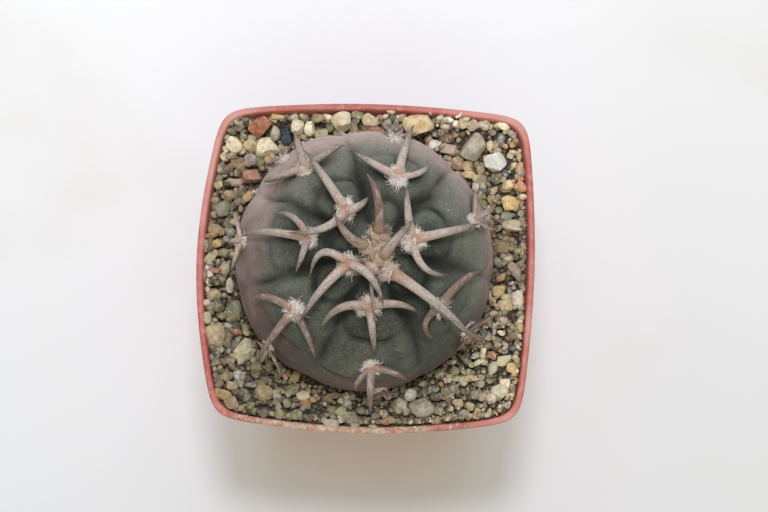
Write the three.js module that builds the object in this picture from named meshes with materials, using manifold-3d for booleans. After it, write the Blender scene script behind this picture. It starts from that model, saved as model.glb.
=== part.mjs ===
// A Gymnocalycium spegazzinii cactus growing in a square plastic nursery pot.
// Millimetres, +Z up, origin under the middle of the pot, the front of the pot towards -Y.
import * as THREE from 'three';
import { mergeVertices } from 'three/addons/utils/BufferGeometryUtils.js';
import Module from 'manifold-3d';

const wasm = await Module();
wasm.setup();

// Pot
const potHeight = 64;
const baseHalf = 25; // half the width across the flats at the base
const rimHalf = 33; // the same at the rim, before the sides bulge
const squareness = 13; // superellipse exponent, which leaves corners of about 6 mm radius
const potBulge = { left: 3.8, right: 1.85, back: 1.75, front: 2.5 }; // the full pot pushes each side out
const bulgeFade = 1.5; // and the push dies away towards the corners
const cornerBunching = 0.2; // puts more of the facets on the corners
const cornerShift = {
  backLeft: [2.4, 0.8],
  backRight: [1.4, -1.1],
  frontRight: [-1, 0.3],
  frontLeft: [1.1, 1.5],
};
const collarHeight = 8;
const collarStep = 0.6;
const collarBevel = 0.4;
const wallThickness = 0.7;
const floorThickness = 1.6;
const edgeRound = 0.35;
const baseRound = 1;
const drainHole = { radius: 2.5, spacing: 15, sides: 8 };
const drainNotch = { width: 7, height: 1, depth: 2 };

// Substrate
const clearance = 0.3; // between pieces that rest in one another
const soilDepthBelowRim = 3;
const soilTilt = 0.025; // the gravel lies a little higher at the front
const stonePitch = 4.7;
const stoneRadius = [2.4, 3.2];
const stoneShape = [1, 0.8, 0.7];
const stoneLift = [-0.2, 0.05]; // its middle over the surface, as a share of its radius
const stoneJitter = 0.7; // as a share of the pitch
const stoneInnerLimit = 20; // no loose stones under the body
const roundShare = 0.3; // the rest are angular
const angularSize = 1.15;
const stoneSeed = 7;
const bigStoneSeed = 3;

// Plant, in its own frame: origin at the middle of its widest level, Z along its axis
const plantCentre = [-0.1, 0.6, 68];
const lean = { angle: 8, towards: -24 };
const bodyRadius = 26.4;
const crownHeight = 19;
const roundness = 2 / 2.2;
const bowl = { depth: 20, power: 2.4 };
const taproot = { radius: 6.5, depth: 52, power: 1.5, clearance: 0.9 };
const neckBlend = 4; // how sharply the bowl turns into the taproot
const rootRings = 0.75; // spaces the rings on the way down
const ribHeadings = [19, 75, 128, 172, 218, 270, 322];
const furrowDepth = [[0, 0], [12, 0.7], [30, 1.4], [55, 1.1], [80, 0.5], [95, 0.25], [112, 0], [180, 0]];
const ribFlatness = 4;
const crease = { width: 1.7, share: 0.5 }; // the sharp part of a furrow
const chin = { height: 0.5, offset: 8, spread: 6 };
const chinEnds = [100, 120]; // the lowest chins die away between these angles
const fold = { depth: 0.7, offset: 2, spread: 4 };
const crownEase = [1, 10]; // the relief sets in between these angles from the axis
const bodySteps = { aroundRib: 8, down: 20 };

// Areoles by rib, from the crown outwards. "down" is the angle from the plant's axis, and "turn" the angle
// off the middle of the rib. Each spine is [heading, reach, rise, arch, sweep, root radius]: the compass
// direction and distance of its tip from the areole, seen along the axis, the height of the tip over the
// areole, and how far its middle stands off the straight line, outwards and to the left.
const areoles = [
  [ // rib 1
    { down: 14, turn: -3, pad: 2.1, spines: [
      [95, 11, 0, 1.9, 1, 1.1],
      [16, 14.8, -4.5, 2.7, -0.4, 1.15],
      [320, 10.4, -1.4, 1.9, -3.2, 0.95],
    ] },
    { down: 53, turn: 0, pad: 1.5, spines: [
      [31, 5, -0.6, 1.5, 0.3, 0.9],
      [342, 5.2, -1.8, 0.7, -1.2, 0.5],
      [82, 6.4, -5, 1.5, 2, 0.7],
    ] },
    { down: 88, turn: 2, pad: 1.3, spines: [
      [50, 3.6, -2.6, 0.5, 0.6, 0.55],
      [338, 3.4, -2.8, 0.5, -0.6, 0.55],
    ] },
  ],
  [ // rib 2
    { down: 6, turn: 9, pad: 1.5, spines: [
      [102, 11.9, 0, 3.4, -0.6, 1.2],
      [21, 2.4, 1.5, 0.7, -0.1, 0.4],
      [352, 3, 1, 0.5, 0, 0.4],
    ] },
    { down: 33, turn: -2, pad: 1.9, spines: [
      [150, 10.8, -1.9, 1.7, 1.3, 1.05],
      [72, 11.9, -3, 0.6, 0.4, 1.15],
      [32, 7.7, -3.2, 1.4, -2, 0.8],
    ] },
    { down: 64, turn: 3, pad: 1.4, spines: [
      [123, 4.9, -4.5, 0.7, 0.9, 0.6],
      [58, 2.9, -1.8, 0.3, -0.4, 0.5],
      [20, 5.1, -4.4, 0.5, -0.6, 0.6],
    ] },
  ],
  [ // rib 3
    { down: 19, turn: 0, pad: 1.9, spines: [
      [123, 14.8, -3.3, 1.7, 0.1, 1.15],
      [33, 5.2, 1.2, 1.1, -1, 1.1],
      [202, 12.5, 0.4, 2, 2.4, 1.1],
    ] },
    { down: 52, turn: 1, pad: 1.7, spines: [
      [103, 8.3, -3.9, 1.4, -0.3, 1],
      [195, 8, -6.2, 2.1, 2.4, 0.95],
      [31, 9.3, 0.6, 1.4, -1.3, 0.95],
    ] },
    { down: 77, turn: 3, pad: 1.3, spines: [
      [195, 3.6, -4.7, 0.5, 0.9, 0.6],
      [99, 2.4, -2.5, 0.3, -0.3, 0.55],
      [56, 5.3, -4.2, 0.4, -0.2, 0.5],
    ] },
  ],
  [ // rib 4
    { down: 4, turn: -8, pad: 1.4, spines: [
      [137, 8.9, 2.7, 2, 1.4, 1.2],
    ] },
    { down: 28, turn: -1, pad: 1.7, spines: [
      [175, 12.7, -9.3, 3.1, -0.5, 1],
      [144, 8.4, -3.2, 1.8, -1.8, 0.85],
      [251, 7.3, -0.2, 1.8, 0.6, 0.9],
    ] },
    { down: 73, turn: 2, pad: 1.5, spines: [
      [186, 2.9, 0, 1, 0.6, 0.75],
      [253, 6.4, -2.2, 0.6, 1.4, 0.8],
      [106, 6.9, -3.4, 0.3, -1.2, 0.7],
    ] },
  ],
  [ // rib 5
    { down: 12, turn: -9, pad: 1.9, spines: [
      [202, 8, -0.5, 2.1, -3.8, 1],
      [231, 14.6, -2.4, 2.9, -0.7, 1.15],
      [309, 10.6, 3.1, 2.2, 1.6, 1.15],
    ] },
    { down: 45, turn: -1, pad: 1.8, spines: [
      [169, 8.1, -6.8, 2.1, -2.8, 0.95],
      [234, 11.8, -6.9, 0.8, -0.1, 1.05],
      [296, 10.3, -3.2, 1.9, 1.5, 0.9],
    ] },
    { down: 86, turn: 5, pad: 1.3, spines: [
      [150, 3.2, 0.4, 0.4, -1.6, 0.6],
      [242, 3.4, -2.6, 0.8, 0.5, 0.65],
      [300, 6.3, -3, 0.6, 2.2, 0.5],
    ] },
  ],
  [ // rib 6
    { down: 7, turn: -12, pad: 1.1, spines: [
      [273, 10.7, 1.5, 1.8, -0.6, 0.55],
    ] },
    { down: 23, turn: -6, pad: 2, spines: [
      [205, 10.4, -1.8, 2.2, -2.7, 1.1],
      [354, 9.9, -0.3, 2, 1.6, 1.05],
      [279, 9.1, -2.8, 1.9, -0.1, 1],
    ] },
    { down: 56, turn: 0, pad: 1.6, spines: [
      [241, 5, -4.3, 1.6, -1.6, 0.8],
      [272, 8.8, -3.1, 2.6, -0.4, 1],
      [342, 7.9, -2.1, 1.5, 1.9, 0.9],
    ] },
    { down: 88, turn: 7, pad: 1.3, spines: [
      [301, 2.6, -0.4, 0.4, 1.2, 0.5],
      [221, 2.8, -0.8, 0.4, -1.2, 0.5],
      [357, 3.4, 0.6, 0.5, 1.8, 0.5],
    ] },
  ],
  [ // rib 7
    { down: 3, turn: -3, pad: 1.4, spines: [
      [51, 8.7, 3.1, 2.3, 0.2, 1.2],
    ] },
    { down: 10, turn: -18, pad: 1.6, spines: [
      [322, 22.5, -3.9, 3.1, 0.6, 1.25],
    ] },
    { down: 37, turn: -2, pad: 1.7, spines: [
      [39, 11.8, -3.3, 2.3, 2.6, 1.05],
      [306, 3.2, -0.8, 0.6, -0.3, 0.9],
      [263, 6.4, -2.1, 1.4, -3.4, 0.85],
    ] },
    { down: 68, turn: 1, pad: 1.5, spines: [
      [31, 6.6, 2, 0.6, 2.4, 0.85],
      [238, 4.3, -1.9, 0.8, -1, 0.7],
      [333, 3.9, -2.5, 1.2, 0, 0.75],
    ] },
  ],
];
const padHeight = 0.75; // felt pad's half height, against its radius
const rootLift = 0.5; // a spine starts this far out of the body, inside its pad
const rootFlare = { extra: 0.4, over: 0.12 };
const spineTaper = 2.6;
const tipRadius = 0.12;
const spineSteps = { sides: 5, long: 4, short: 3, longFrom: 8 };
const padSteps = { around: 7, down: 3 };
const hollowSides = 24;
const potSides = 44;

// Larger stones that lie on the gravel: [name, x, y, height, half sizes, turn, colour]
const bigStones = [
  ['stone_gold', 10.9, 30, 64.3, [3.1, 2.6, 3.2], 15, 0xcfa561],
  ['stone_white', 27, 22.1, 62.8, [2.3, 2.3, 1.9], 10, 0xdcd8cd],
  ['stone_slab', 22.3, 25.3, 62.2, [3.5, 2.6, 1.5], 50, 0x8f8f7c],
  ['stone_brick_corner', -22, 29.9, 62.4, [2.9, 1.8, 1.8], 38, 0xa5654a],
  ['stone_brick_side', -24, 19.5, 62.4, [2.7, 1.7, 1.6], 5, 0xa86f5c],
  ['stone_slate', -16.6, 28.3, 62.2, [1.15, 2.6, 1.6], 5, 0x3d4450],
  ['stone_cream_back', -4.9, 31, 62.8, [2.3, 1.9, 1.9], 15, 0xd9c9a2],
  ['stone_cream_front', 27.4, -25.9, 62.8, [1.9, 1.6, 1.7], 30, 0xd8cfb4],
];

const finishes = { // colour and roughness
  pot: [0xc06a58, 0.45],
  soil: [0x8c7f63, 0.95],
  body: [0x66695f, 0.8],
  spines: [0xc0a294, 0.7],
};
const stoneRoughness = 0.85;

const radians = THREE.MathUtils.degToRad;
const degrees = THREE.MathUtils.radToDeg;
const lerp = THREE.MathUtils.lerp;

// Solids

function toSolid(geometry) {
  const bare = geometry.index ? geometry.clone() : geometry;
  bare.deleteAttribute('normal');
  bare.deleteAttribute('uv');
  const merged = mergeVertices(bare, 1e-4);
  const vertProperties = new Float32Array(merged.getAttribute('position').array);
  const triVerts = new Uint32Array(merged.getIndex().array);
  return new wasm.Manifold(new wasm.Mesh({ numProp: 3, vertProperties, triVerts }));
}

function toGeometry(solid) {
  const mesh = solid.getMesh();
  const geometry = new THREE.BufferGeometry();
  geometry.setAttribute('position', new THREE.BufferAttribute(new Float32Array(mesh.vertProperties), 3));
  geometry.setIndex(new THREE.BufferAttribute(new Uint32Array(mesh.triVerts), 1));
  return geometry;
}

function join(solids) {
  return solids.reduce((whole, solid) => whole.add(solid));
}

// Drops the loose scraps that a cut leaves
function largest(solid) {
  const pieces = solid.decompose();
  return pieces.reduce((best, piece) => (piece.volume() > best.volume() ? piece : best));
}

function moveVertices(geometry, place) {
  const positions = geometry.getAttribute('position');
  const point = new THREE.Vector3();
  for (let i = 0; i < positions.count; i += 1) {
    point.fromBufferAttribute(positions, i);
    const moved = place(point);
    positions.setXYZ(i, moved.x, moved.y, moved.z);
  }
  return geometry;
}

// A repeatable random number from 0 to 1
function makeRandom(seed) {
  let state = seed;
  return () => {
    state = (state * 1664525 + 1013904223) % 4294967296;
    return state / 4294967296;
  };
}

// Pot

function halfWidth(height) {
  return lerp(baseHalf, rimHalf, height / potHeight);
}

// Turns a round lathed shape into the pot's rounded, bulging square
function squareUp(point) {
  const radius = Math.hypot(point.x, point.y);
  if (radius < 1e-6) {
    return point;
  }
  const turned = Math.atan2(point.y, point.x);
  const angle = turned + cornerBunching * Math.sin(4 * turned);
  const power = Math.abs(Math.cos(angle)) ** squareness + Math.abs(Math.sin(angle)) ** squareness;
  const reach = radius / power ** (1 / squareness);
  const rise = point.z / potHeight;
  const half = halfWidth(point.z);
  const x = reach * Math.cos(angle);
  const y = reach * Math.sin(angle);
  const u = x / half;
  const v = y / half;
  const bulgeX = (u > 0 ? potBulge.right : potBulge.left) * Math.max(0, 1 - v * v) ** bulgeFade;
  const bulgeY = (v > 0 ? potBulge.back : potBulge.front) * Math.max(0, 1 - u * u) ** bulgeFade;
  let shiftX = u * bulgeX * rise;
  let shiftY = v * bulgeY * rise;
  const weights = [
    [cornerShift.backLeft, (1 - u) * (1 + v)],
    [cornerShift.backRight, (1 + u) * (1 + v)],
    [cornerShift.frontRight, (1 + u) * (1 - v)],
    [cornerShift.frontLeft, (1 - u) * (1 - v)],
  ];
  for (const [shift, weight] of weights) {
    shiftX += (shift[0] * weight * rise) / 4;
    shiftY += (shift[1] * weight * rise) / 4;
  }
  return new THREE.Vector3(x + shiftX, y + shiftY, point.z);
}

// A squared-up lathe: the profile is [inset from the collar's face, height], and null stands for the axis
function squareLathe(profile) {
  const points = profile.map(([inset, height]) => {
    const radius = inset === null ? 0 : halfWidth(height) - inset;
    return new THREE.Vector2(radius, height);
  });
  const lathe = new THREE.LatheGeometry(points, potSides);
  lathe.rotateX(Math.PI / 2);
  return moveVertices(lathe, squareUp);
}

function makePot() {
  const inner = collarStep + wallThickness;
  const collarFoot = potHeight - collarHeight;
  const shell = toSolid(squareLathe([
    [null, 0],
    [collarStep + baseRound, 0],
    [collarStep, baseRound],
    [collarStep, potHeight / 4],
    [collarStep, potHeight / 2],
    [collarStep, potHeight * 3 / 4],
    [collarStep, collarFoot],
    [0, collarFoot + collarBevel],
    [0, potHeight - edgeRound],
    [edgeRound, potHeight],
    [inner - edgeRound, potHeight],
    [inner, potHeight - edgeRound],
    [inner, potHeight * 3 / 4],
    [inner, potHeight / 2],
    [inner, potHeight / 4],
    [inner, floorThickness + baseRound],
    [inner + baseRound, floorThickness],
    [null, floorThickness],
  ]));
  const cuts = [];
  for (const column of [-1, 0, 1]) {
    for (const row of [-1, 0, 1]) {
      if (column !== 0 || row !== 0) {
        const { radius, sides } = drainHole;
        const hole = new THREE.CylinderGeometry(radius, radius, 4 * floorThickness, sides);
        hole.rotateX(Math.PI / 2);
        hole.translate(column * drainHole.spacing, row * drainHole.spacing, 0);
        cuts.push(toSolid(hole));
      }
    }
  }
  for (const side of [0, 1, 2, 3]) {
    const notch = new THREE.BoxGeometry(drainNotch.width, 2 * drainNotch.depth, 2 * drainNotch.height);
    notch.translate(0, baseHalf, 0);
    notch.rotateZ((side * Math.PI) / 2);
    cuts.push(toSolid(notch));
  }
  return shell.subtract(join(cuts));
}

// Plant body

function stepped(stops, at) {
  for (let i = 1; i < stops.length; i += 1) {
    const [from, low] = stops[i - 1];
    const [to, high] = stops[i];
    if (at <= to) {
      return lerp(low, high, THREE.MathUtils.smoothstep(at, from, to));
    }
  }
  return stops[stops.length - 1][1];
}

// The furrow before a rib, going anticlockwise
function furrowHeading(rib) {
  const count = ribHeadings.length;
  const before = ribHeadings[(rib + count - 1) % count] - (rib === 0 ? 360 : 0);
  return (before + ribHeadings[rib % count]) / 2;
}

function furrowAfter(rib) {
  const last = rib === ribHeadings.length - 1;
  return last ? furrowHeading(0) + 360 : furrowHeading(rib + 1);
}

// Which rib a heading lies on, and how far across it, from -1 to 1
function acrossRib(heading) {
  const first = furrowHeading(0);
  const turned = first + THREE.MathUtils.euclideanModulo(heading - first, 360);
  for (let rib = 0; rib < ribHeadings.length; rib += 1) {
    const start = furrowHeading(rib);
    const end = furrowAfter(rib);
    if (turned <= end + 1e-6) {
      return { rib, across: (2 * (turned - start)) / (end - start) - 1 };
    }
  }
  return { rib: 0, across: -1 };
}

// The body without its ribs: radius, height and outward normal at an angle down from the crown
function bodyProfile(down) {
  const sin = Math.sin(radians(down));
  const cos = Math.cos(radians(down));
  if (cos >= 0) {
    const radius = bodyRadius * sin ** roundness;
    const height = crownHeight * cos ** roundness;
    const power = 2 / roundness - 1;
    const normal = new THREE.Vector2(
      (radius / bodyRadius) ** power / bodyRadius,
      (height / crownHeight) ** power / crownHeight,
    );
    normal.normalize();
    return { radius, height, normal };
  }
  const depth = taproot.depth * (1 - sin) ** rootRings;
  const onBowl = bodyRadius * Math.max(0, 1 - (depth / bowl.depth) ** bowl.power) ** (1 / bowl.power);
  const onRoot = taproot.radius * (1 - (depth / taproot.depth) ** taproot.power);
  const radius = (onBowl ** neckBlend + onRoot ** neckBlend) ** (1 / neckBlend);
  return { radius, height: -depth, normal: new THREE.Vector2(1, 0) };
}

// Relief of the ribs: furrows between them, and on each rib a chin under every areole and a fold before
// the next
function relief(down, heading, radius) {
  const { rib, across } = acrossRib(heading);
  const side = Math.abs(across);
  const fromFurrow = ((1 - side) * Math.PI * radius) / ribHeadings.length;
  const soft = (1 - crease.share) * side ** ribFlatness;
  const sharp = crease.share * Math.exp(-((fromFurrow / crease.width) ** 2));
  let height = -stepped(furrowDepth, down) * (soft + sharp);
  const middle = 1 - side * side;
  const places = areoles[rib].map((areole) => areole.down);
  places.forEach((place, i) => {
    height += chin.height * middle * Math.exp(-(((down - place - chin.offset) / chin.spread) ** 2));
    if (i > 0) {
      const between = (places[i - 1] + place) / 2 + fold.offset;
      height -= fold.depth * middle * Math.exp(-(((down - between) / fold.spread) ** 2));
    }
  });
  return height * THREE.MathUtils.smoothstep(down, ...crownEase);
}

function bodyPoint(down, heading, raised = 0) {
  const { radius, height, normal } = bodyProfile(down);
  const out = relief(down, heading, radius) + raised;
  const reach = Math.max(0, radius + out * normal.x);
  return new THREE.Vector3(
    reach * Math.cos(radians(heading)),
    reach * Math.sin(radians(heading)),
    height + out * normal.y,
  );
}

function makeBody() {
  const around = ribHeadings.length * bodySteps.aroundRib;
  const ball = new THREE.SphereGeometry(1, around, bodySteps.down);
  ball.rotateX(Math.PI / 2);
  moveVertices(ball, (point) => {
    const down = degrees(Math.acos(THREE.MathUtils.clamp(point.z, -1, 1)));
    const turn = THREE.MathUtils.euclideanModulo(degrees(Math.atan2(point.y, point.x)) + 1e-4, 360);
    const place = (turn / 360) * ribHeadings.length;
    const rib = Math.min(Math.floor(place), ribHeadings.length - 1);
    const heading = lerp(furrowHeading(rib), furrowAfter(rib), place - rib);
    return bodyPoint(down, heading);
  });
  return toSolid(ball);
}

// The plain hollow that the body and its root leave in the gravel
function makeHollow() {
  const ball = new THREE.SphereGeometry(1, hollowSides, bodySteps.down);
  ball.rotateX(Math.PI / 2);
  moveVertices(ball, (point) => {
    const down = degrees(Math.acos(THREE.MathUtils.clamp(point.z, -1, 1)));
    const heading = Math.atan2(point.y, point.x);
    const { radius, height } = bodyProfile(down);
    const room = clearance + chin.height * (1 - THREE.MathUtils.smoothstep(down, ...chinEnds));
    const flat = Math.hypot(point.x, point.y) > 1e-6 ? radius + room : 0;
    const wide = flat / Math.cos(Math.PI / hollowSides); // its flat sides clear the round body
    const deep = height - taproot.clearance * THREE.MathUtils.smoothstep(down, 90, 180);
    return new THREE.Vector3(wide * Math.cos(heading), wide * Math.sin(heading), deep);
  });
  return toSolid(ball);
}

// Spines

class SpineCurve extends THREE.Curve {
  constructor(root, tip, arch, sweep, outward) {
    super();
    this.root = root;
    this.chord = tip.clone().sub(root);
    const along = this.chord.clone().normalize();
    this.up = outward.clone().addScaledVector(along, -outward.dot(along)).normalize();
    this.left = new THREE.Vector3().crossVectors(this.up, along);
    this.arch = arch;
    this.sweep = sweep;
  }

  getPoint(along) {
    const swell = 4 * along * (1 - along);
    return this.root.clone()
      .addScaledVector(this.chord, along)
      .addScaledVector(this.up, this.arch * swell)
      .addScaledVector(this.left, this.sweep * swell);
  }
}

function spineRadius(rootRadius, along) {
  const taper = (1 - rootFlare.extra / 2) * (1 - along ** spineTaper);
  const flare = rootFlare.extra * Math.exp(-along / rootFlare.over);
  return Math.max(tipRadius, rootRadius * (taper + flare));
}

// A cone bent along its curve. A cutter is thicker and longer by "extra".
function makeSpine(curve, rootRadius, extra) {
  const steps = curve.chord.length() > spineSteps.longFrom ? spineSteps.long : spineSteps.short;
  const cone = new THREE.ConeGeometry(1, 1, spineSteps.sides, steps);
  return toSolid(moveVertices(cone, (point) => {
    const along = THREE.MathUtils.clamp(point.y + 0.5, 0, 1);
    const centre = curve.getPoint(along);
    const spread = Math.hypot(point.x, point.z);
    const tangent = curve.getTangent(along);
    if (along === 0 || along === 1) {
      centre.addScaledVector(tangent, along === 0 ? -extra : extra);
    }
    if (spread < 1e-6) {
      return centre;
    }
    const side = curve.left.clone().addScaledVector(tangent, -curve.left.dot(tangent)).normalize();
    const other = new THREE.Vector3().crossVectors(side, tangent);
    const radius = spineRadius(rootRadius, along) + extra;
    return centre
      .addScaledVector(side, (radius * point.x) / spread)
      .addScaledVector(other, (radius * point.z) / spread);
  }));
}

function outwardNormal(down, heading) {
  const { normal } = bodyProfile(down);
  return new THREE.Vector3(
    normal.x * Math.cos(radians(heading)),
    normal.x * Math.sin(radians(heading)),
    normal.y,
  );
}

// One areole: a felt pad and the spines that are rooted in it
function makeSpray(rib, areole, extra = 0) {
  const heading = ribHeadings[rib] + areole.turn;
  const outward = outwardNormal(areole.down, heading);
  const foot = bodyPoint(areole.down, heading);
  const pad = new THREE.SphereGeometry(1, padSteps.around, padSteps.down);
  pad.rotateX(Math.PI / 2);
  pad.scale(areole.pad + extra, areole.pad + extra, areole.pad * padHeight + extra);
  pad.applyQuaternion(new THREE.Quaternion().setFromUnitVectors(new THREE.Vector3(0, 0, 1), outward));
  pad.translate(foot.x, foot.y, foot.z);
  const root = foot.clone().addScaledVector(outward, rootLift);
  const spines = areole.spines.map(([spineHeading, reach, rise, arch, sweep, rootRadius]) => {
    const tip = new THREE.Vector3(
      root.x + reach * Math.cos(radians(spineHeading)),
      root.y + reach * Math.sin(radians(spineHeading)),
      root.z + rise,
    );
    return makeSpine(new SpineCurve(root, tip, arch, sweep, outward), rootRadius, extra);
  });
  return join([toSolid(pad), ...spines]);
}

// Substrate

function makeStone(ball, halfSizes, random) {
  const stone = ball.clone();
  stone.rotateX(random() * Math.PI);
  stone.rotateY(random() * Math.PI);
  stone.scale(halfSizes[0], halfSizes[1], halfSizes[2]);
  return stone;
}

function soilTop(y) {
  return potHeight - soilDepthBelowRim - soilTilt * y;
}

function makeBigStone([, x, y, height, halfSizes, turn], extra = 0) {
  const ball = new THREE.IcosahedronGeometry(1, 1);
  const stone = makeStone(ball, halfSizes.map((half) => half + extra), makeRandom(bigStoneSeed));
  stone.rotateZ(radians(turn));
  stone.translate(x, y, height);
  return toSolid(stone);
}

function makeSoil(plantMatrix) {
  const wall = collarStep + wallThickness + clearance;
  const inside = toSolid(squareLathe([
    [null, floorThickness + clearance],
    [wall + baseRound, floorThickness + clearance],
    [wall, floorThickness + clearance + baseRound],
    [wall, potHeight / 4],
    [wall, potHeight / 2],
    [wall, potHeight * 3 / 4],
    [wall, potHeight],
    [null, potHeight],
  ]));
  const random = makeRandom(stoneSeed);
  const fill = new THREE.BoxGeometry(3 * rimHalf, 3 * rimHalf, potHeight);
  const block = moveVertices(fill, (point) => {
    const height = point.z > 0 ? soilTop(point.y) : 0;
    return new THREE.Vector3(point.x, point.y, height);
  });
  const stones = [];
  const rows = Math.floor(rimHalf / stonePitch);
  for (let row = -rows; row <= rows; row += 1) {
    for (let column = -rows; column <= rows; column += 1) {
      const x = (column + (row % 2) / 2 + (random() - 0.5) * stoneJitter) * stonePitch;
      const y = (row + (random() - 0.5) * stoneJitter) * stonePitch;
      const size = lerp(...stoneRadius, random());
      const round = random() < roundShare;
      const ball = round ? new THREE.IcosahedronGeometry(1) : new THREE.OctahedronGeometry(angularSize);
      const stone = makeStone(ball, stoneShape.map((share) => share * size), random);
      stone.rotateZ(random() * Math.PI);
      stone.translate(x, y, soilTop(y) + size * lerp(...stoneLift, random()));
      if (Math.hypot(x, y) > stoneInnerLimit) {
        stones.push(toSolid(stone));
      }
    }
  }
  const seats = bigStones.map((stone) => makeBigStone(stone, clearance));
  const hollow = makeHollow().transform(plantMatrix.elements);
  const filled = join([toSolid(block), ...stones]).intersect(inside);
  return largest(filled.subtract(hollow).subtract(join(seats)));
}

// Assembly

function addMesh(parent, name, solid, [color, roughness]) {
  const material = new THREE.MeshStandardMaterial({ color, roughness, metalness: 0 });
  const mesh = new THREE.Mesh(toGeometry(solid), material);
  mesh.name = name;
  parent.add(mesh);
}

const plant = new THREE.Group();
plant.position.set(...plantCentre);
const leanHeading = radians(lean.towards);
plant.quaternion.setFromAxisAngle(
  new THREE.Vector3(-Math.sin(leanHeading), Math.cos(leanHeading), 0),
  radians(lean.angle),
);
plant.updateMatrix();

const sprays = [];
areoles.forEach((onRib, rib) => {
  onRib.forEach((areole, place) => {
    const name = `spines_rib${rib + 1}_${place + 1}`;
    sprays.push({ name, solid: makeSpray(rib, areole), cutter: makeSpray(rib, areole, clearance) });
  });
});

const group = new THREE.Group();
addMesh(group, 'pot', makePot(), finishes.pot);
addMesh(group, 'soil', makeSoil(plant.matrix), finishes.soil);
for (const stone of bigStones) {
  addMesh(group, stone[0], makeBigStone(stone), [stone[6], stoneRoughness]);
}
const sockets = join(sprays.map((spray) => spray.cutter));
addMesh(plant, 'body', makeBody().subtract(sockets), finishes.body);
for (const { name, solid } of sprays) {
  addMesh(plant, name, solid, finishes.spines);
}
group.add(plant);

export default group;
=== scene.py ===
import random
import bmesh
import bpy
import numpy as np
from math import acos, atan2, cos, degrees, exp, hypot, pi, radians, sin, sqrt
from mathutils import Matrix, Vector, noise


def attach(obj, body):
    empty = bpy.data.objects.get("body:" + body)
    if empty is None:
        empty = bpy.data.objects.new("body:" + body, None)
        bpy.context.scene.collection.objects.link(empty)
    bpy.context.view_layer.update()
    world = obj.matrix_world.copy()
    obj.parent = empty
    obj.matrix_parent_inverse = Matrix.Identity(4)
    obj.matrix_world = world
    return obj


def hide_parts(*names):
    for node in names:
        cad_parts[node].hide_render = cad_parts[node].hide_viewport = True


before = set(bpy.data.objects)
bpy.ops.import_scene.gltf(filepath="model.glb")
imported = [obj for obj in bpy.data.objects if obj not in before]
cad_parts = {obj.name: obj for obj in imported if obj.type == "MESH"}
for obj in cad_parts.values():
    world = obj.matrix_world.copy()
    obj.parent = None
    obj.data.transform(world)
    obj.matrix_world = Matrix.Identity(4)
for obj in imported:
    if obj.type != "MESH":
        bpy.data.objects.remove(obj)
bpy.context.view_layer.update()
print("frame loaded:", len(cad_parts), "nodes")

# Everything is drawn in millimetres, and becomes metres when a piece is finished
metres = 0.001


def lerp(low, high, share):
    return low + (high - low) * share


def smoothStep(value, low, high):
    share = min(1, max(0, (value - low) / (high - low)))
    return share * share * (3 - 2 * share)


def hump(away, width):  # 1 in the middle, and down to 0 on both sides
    return exp(-(away / width) ** 2)


def uneven(waves, place):  # adds up waves of noise, each (height, frequency)
    return sum(high * noise.noise(place * often) for high, often in waves)


def heading(turn):
    return Vector((cos(radians(turn)), sin(radians(turn)), 0))


def polar(turn, radius, height):
    return heading(turn) * radius + Vector((0, 0, height))


# Shader nodes


class Wire:
    # An output of a node. Python's operators add the Math nodes.

    def __init__(self, socket):
        self.socket = socket

    def node(self, kind, settings=None, inputs=None, output=0):
        tree = self.socket.id_data
        made = tree.nodes.new(kind)
        for name, value in (settings or {}).items():
            if name == "stops":
                fillRamp(made.color_ramp, value)
            else:
                setattr(made, name, value)
        for name, value in (inputs or {}).items():
            if isinstance(value, Wire):
                tree.links.new(value.socket, made.inputs[name])
            else:
                made.inputs[name].default_value = value
        return Wire(made.outputs[output]) if len(made.outputs) else None

    def maths(self, operation, first, second=0.0):
        return self.node("ShaderNodeMath", {"operation": operation}, {0: first, 1: second})

    def __add__(self, other):
        return self.maths("ADD", self, other)

    def __sub__(self, other):
        return self.maths("SUBTRACT", self, other)

    def __rsub__(self, other):
        return self.maths("SUBTRACT", other, self)

    def __mul__(self, other):
        return self.maths("MULTIPLY", self, other)

    def __abs__(self):
        return self.maths("ABSOLUTE", self)

    __radd__, __rmul__ = __add__, __mul__

    def fade(self, low, high):  # 0 at low, 1 at high, smooth between them
        return self.node("ShaderNodeMapRange", {"interpolation_type": "SMOOTHSTEP"},
                         {"Value": self, "From Min": low, "From Max": high})

    def tints(self, *layers):  # this colour under layers, each a colour and how much it covers
        tone = self
        for colour, share in layers:
            colour = paint(colour) if isinstance(colour, str) else colour
            tone = tone.node("ShaderNodeMix", {"data_type": "RGBA"}, {0: share, 6: tone, 7: colour}, 2)
        return tone

    def ramp(self, *stops, kind="LINEAR"):
        return self.node("ShaderNodeValToRGB", {"stops": (kind, stops)}, {"Fac": self})

    def noise(self, scale, detail=3, roughness=0.55):
        return self.node("ShaderNodeTexNoise", None,
                         {"Vector": self, "Scale": scale, "Detail": detail, "Roughness": roughness})

    def cells(self, scale, output="Distance"):
        return self.node("ShaderNodeTexVoronoi", None, {"Vector": self, "Scale": scale}, output)

    def stretched(self, x, y, z):
        return self.node("ShaderNodeVectorMath", {"operation": "MULTIPLY"}, {0: self, 1: (x, y, z)})

    def part(self, axis):
        return self.node("ShaderNodeSeparateXYZ", None, {"Vector": self}, axis)

    def attribute(self, name, output="Fac"):
        return self.node("ShaderNodeAttribute", {"attribute_name": name}, None, output)

    def bump(self, distance, strength=1.0):
        return self.node("ShaderNodeBump", None,
                         {"Height": self, "Distance": distance * metres, "Strength": strength})


def fillRamp(ramp, value):
    ramp.interpolation, stops = value
    for at, colour in stops[1:-1]:
        ramp.elements.new(at)
    for element, (at, colour) in zip(ramp.elements, stops):
        element.position = at
        element.color = paint(colour)


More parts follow.
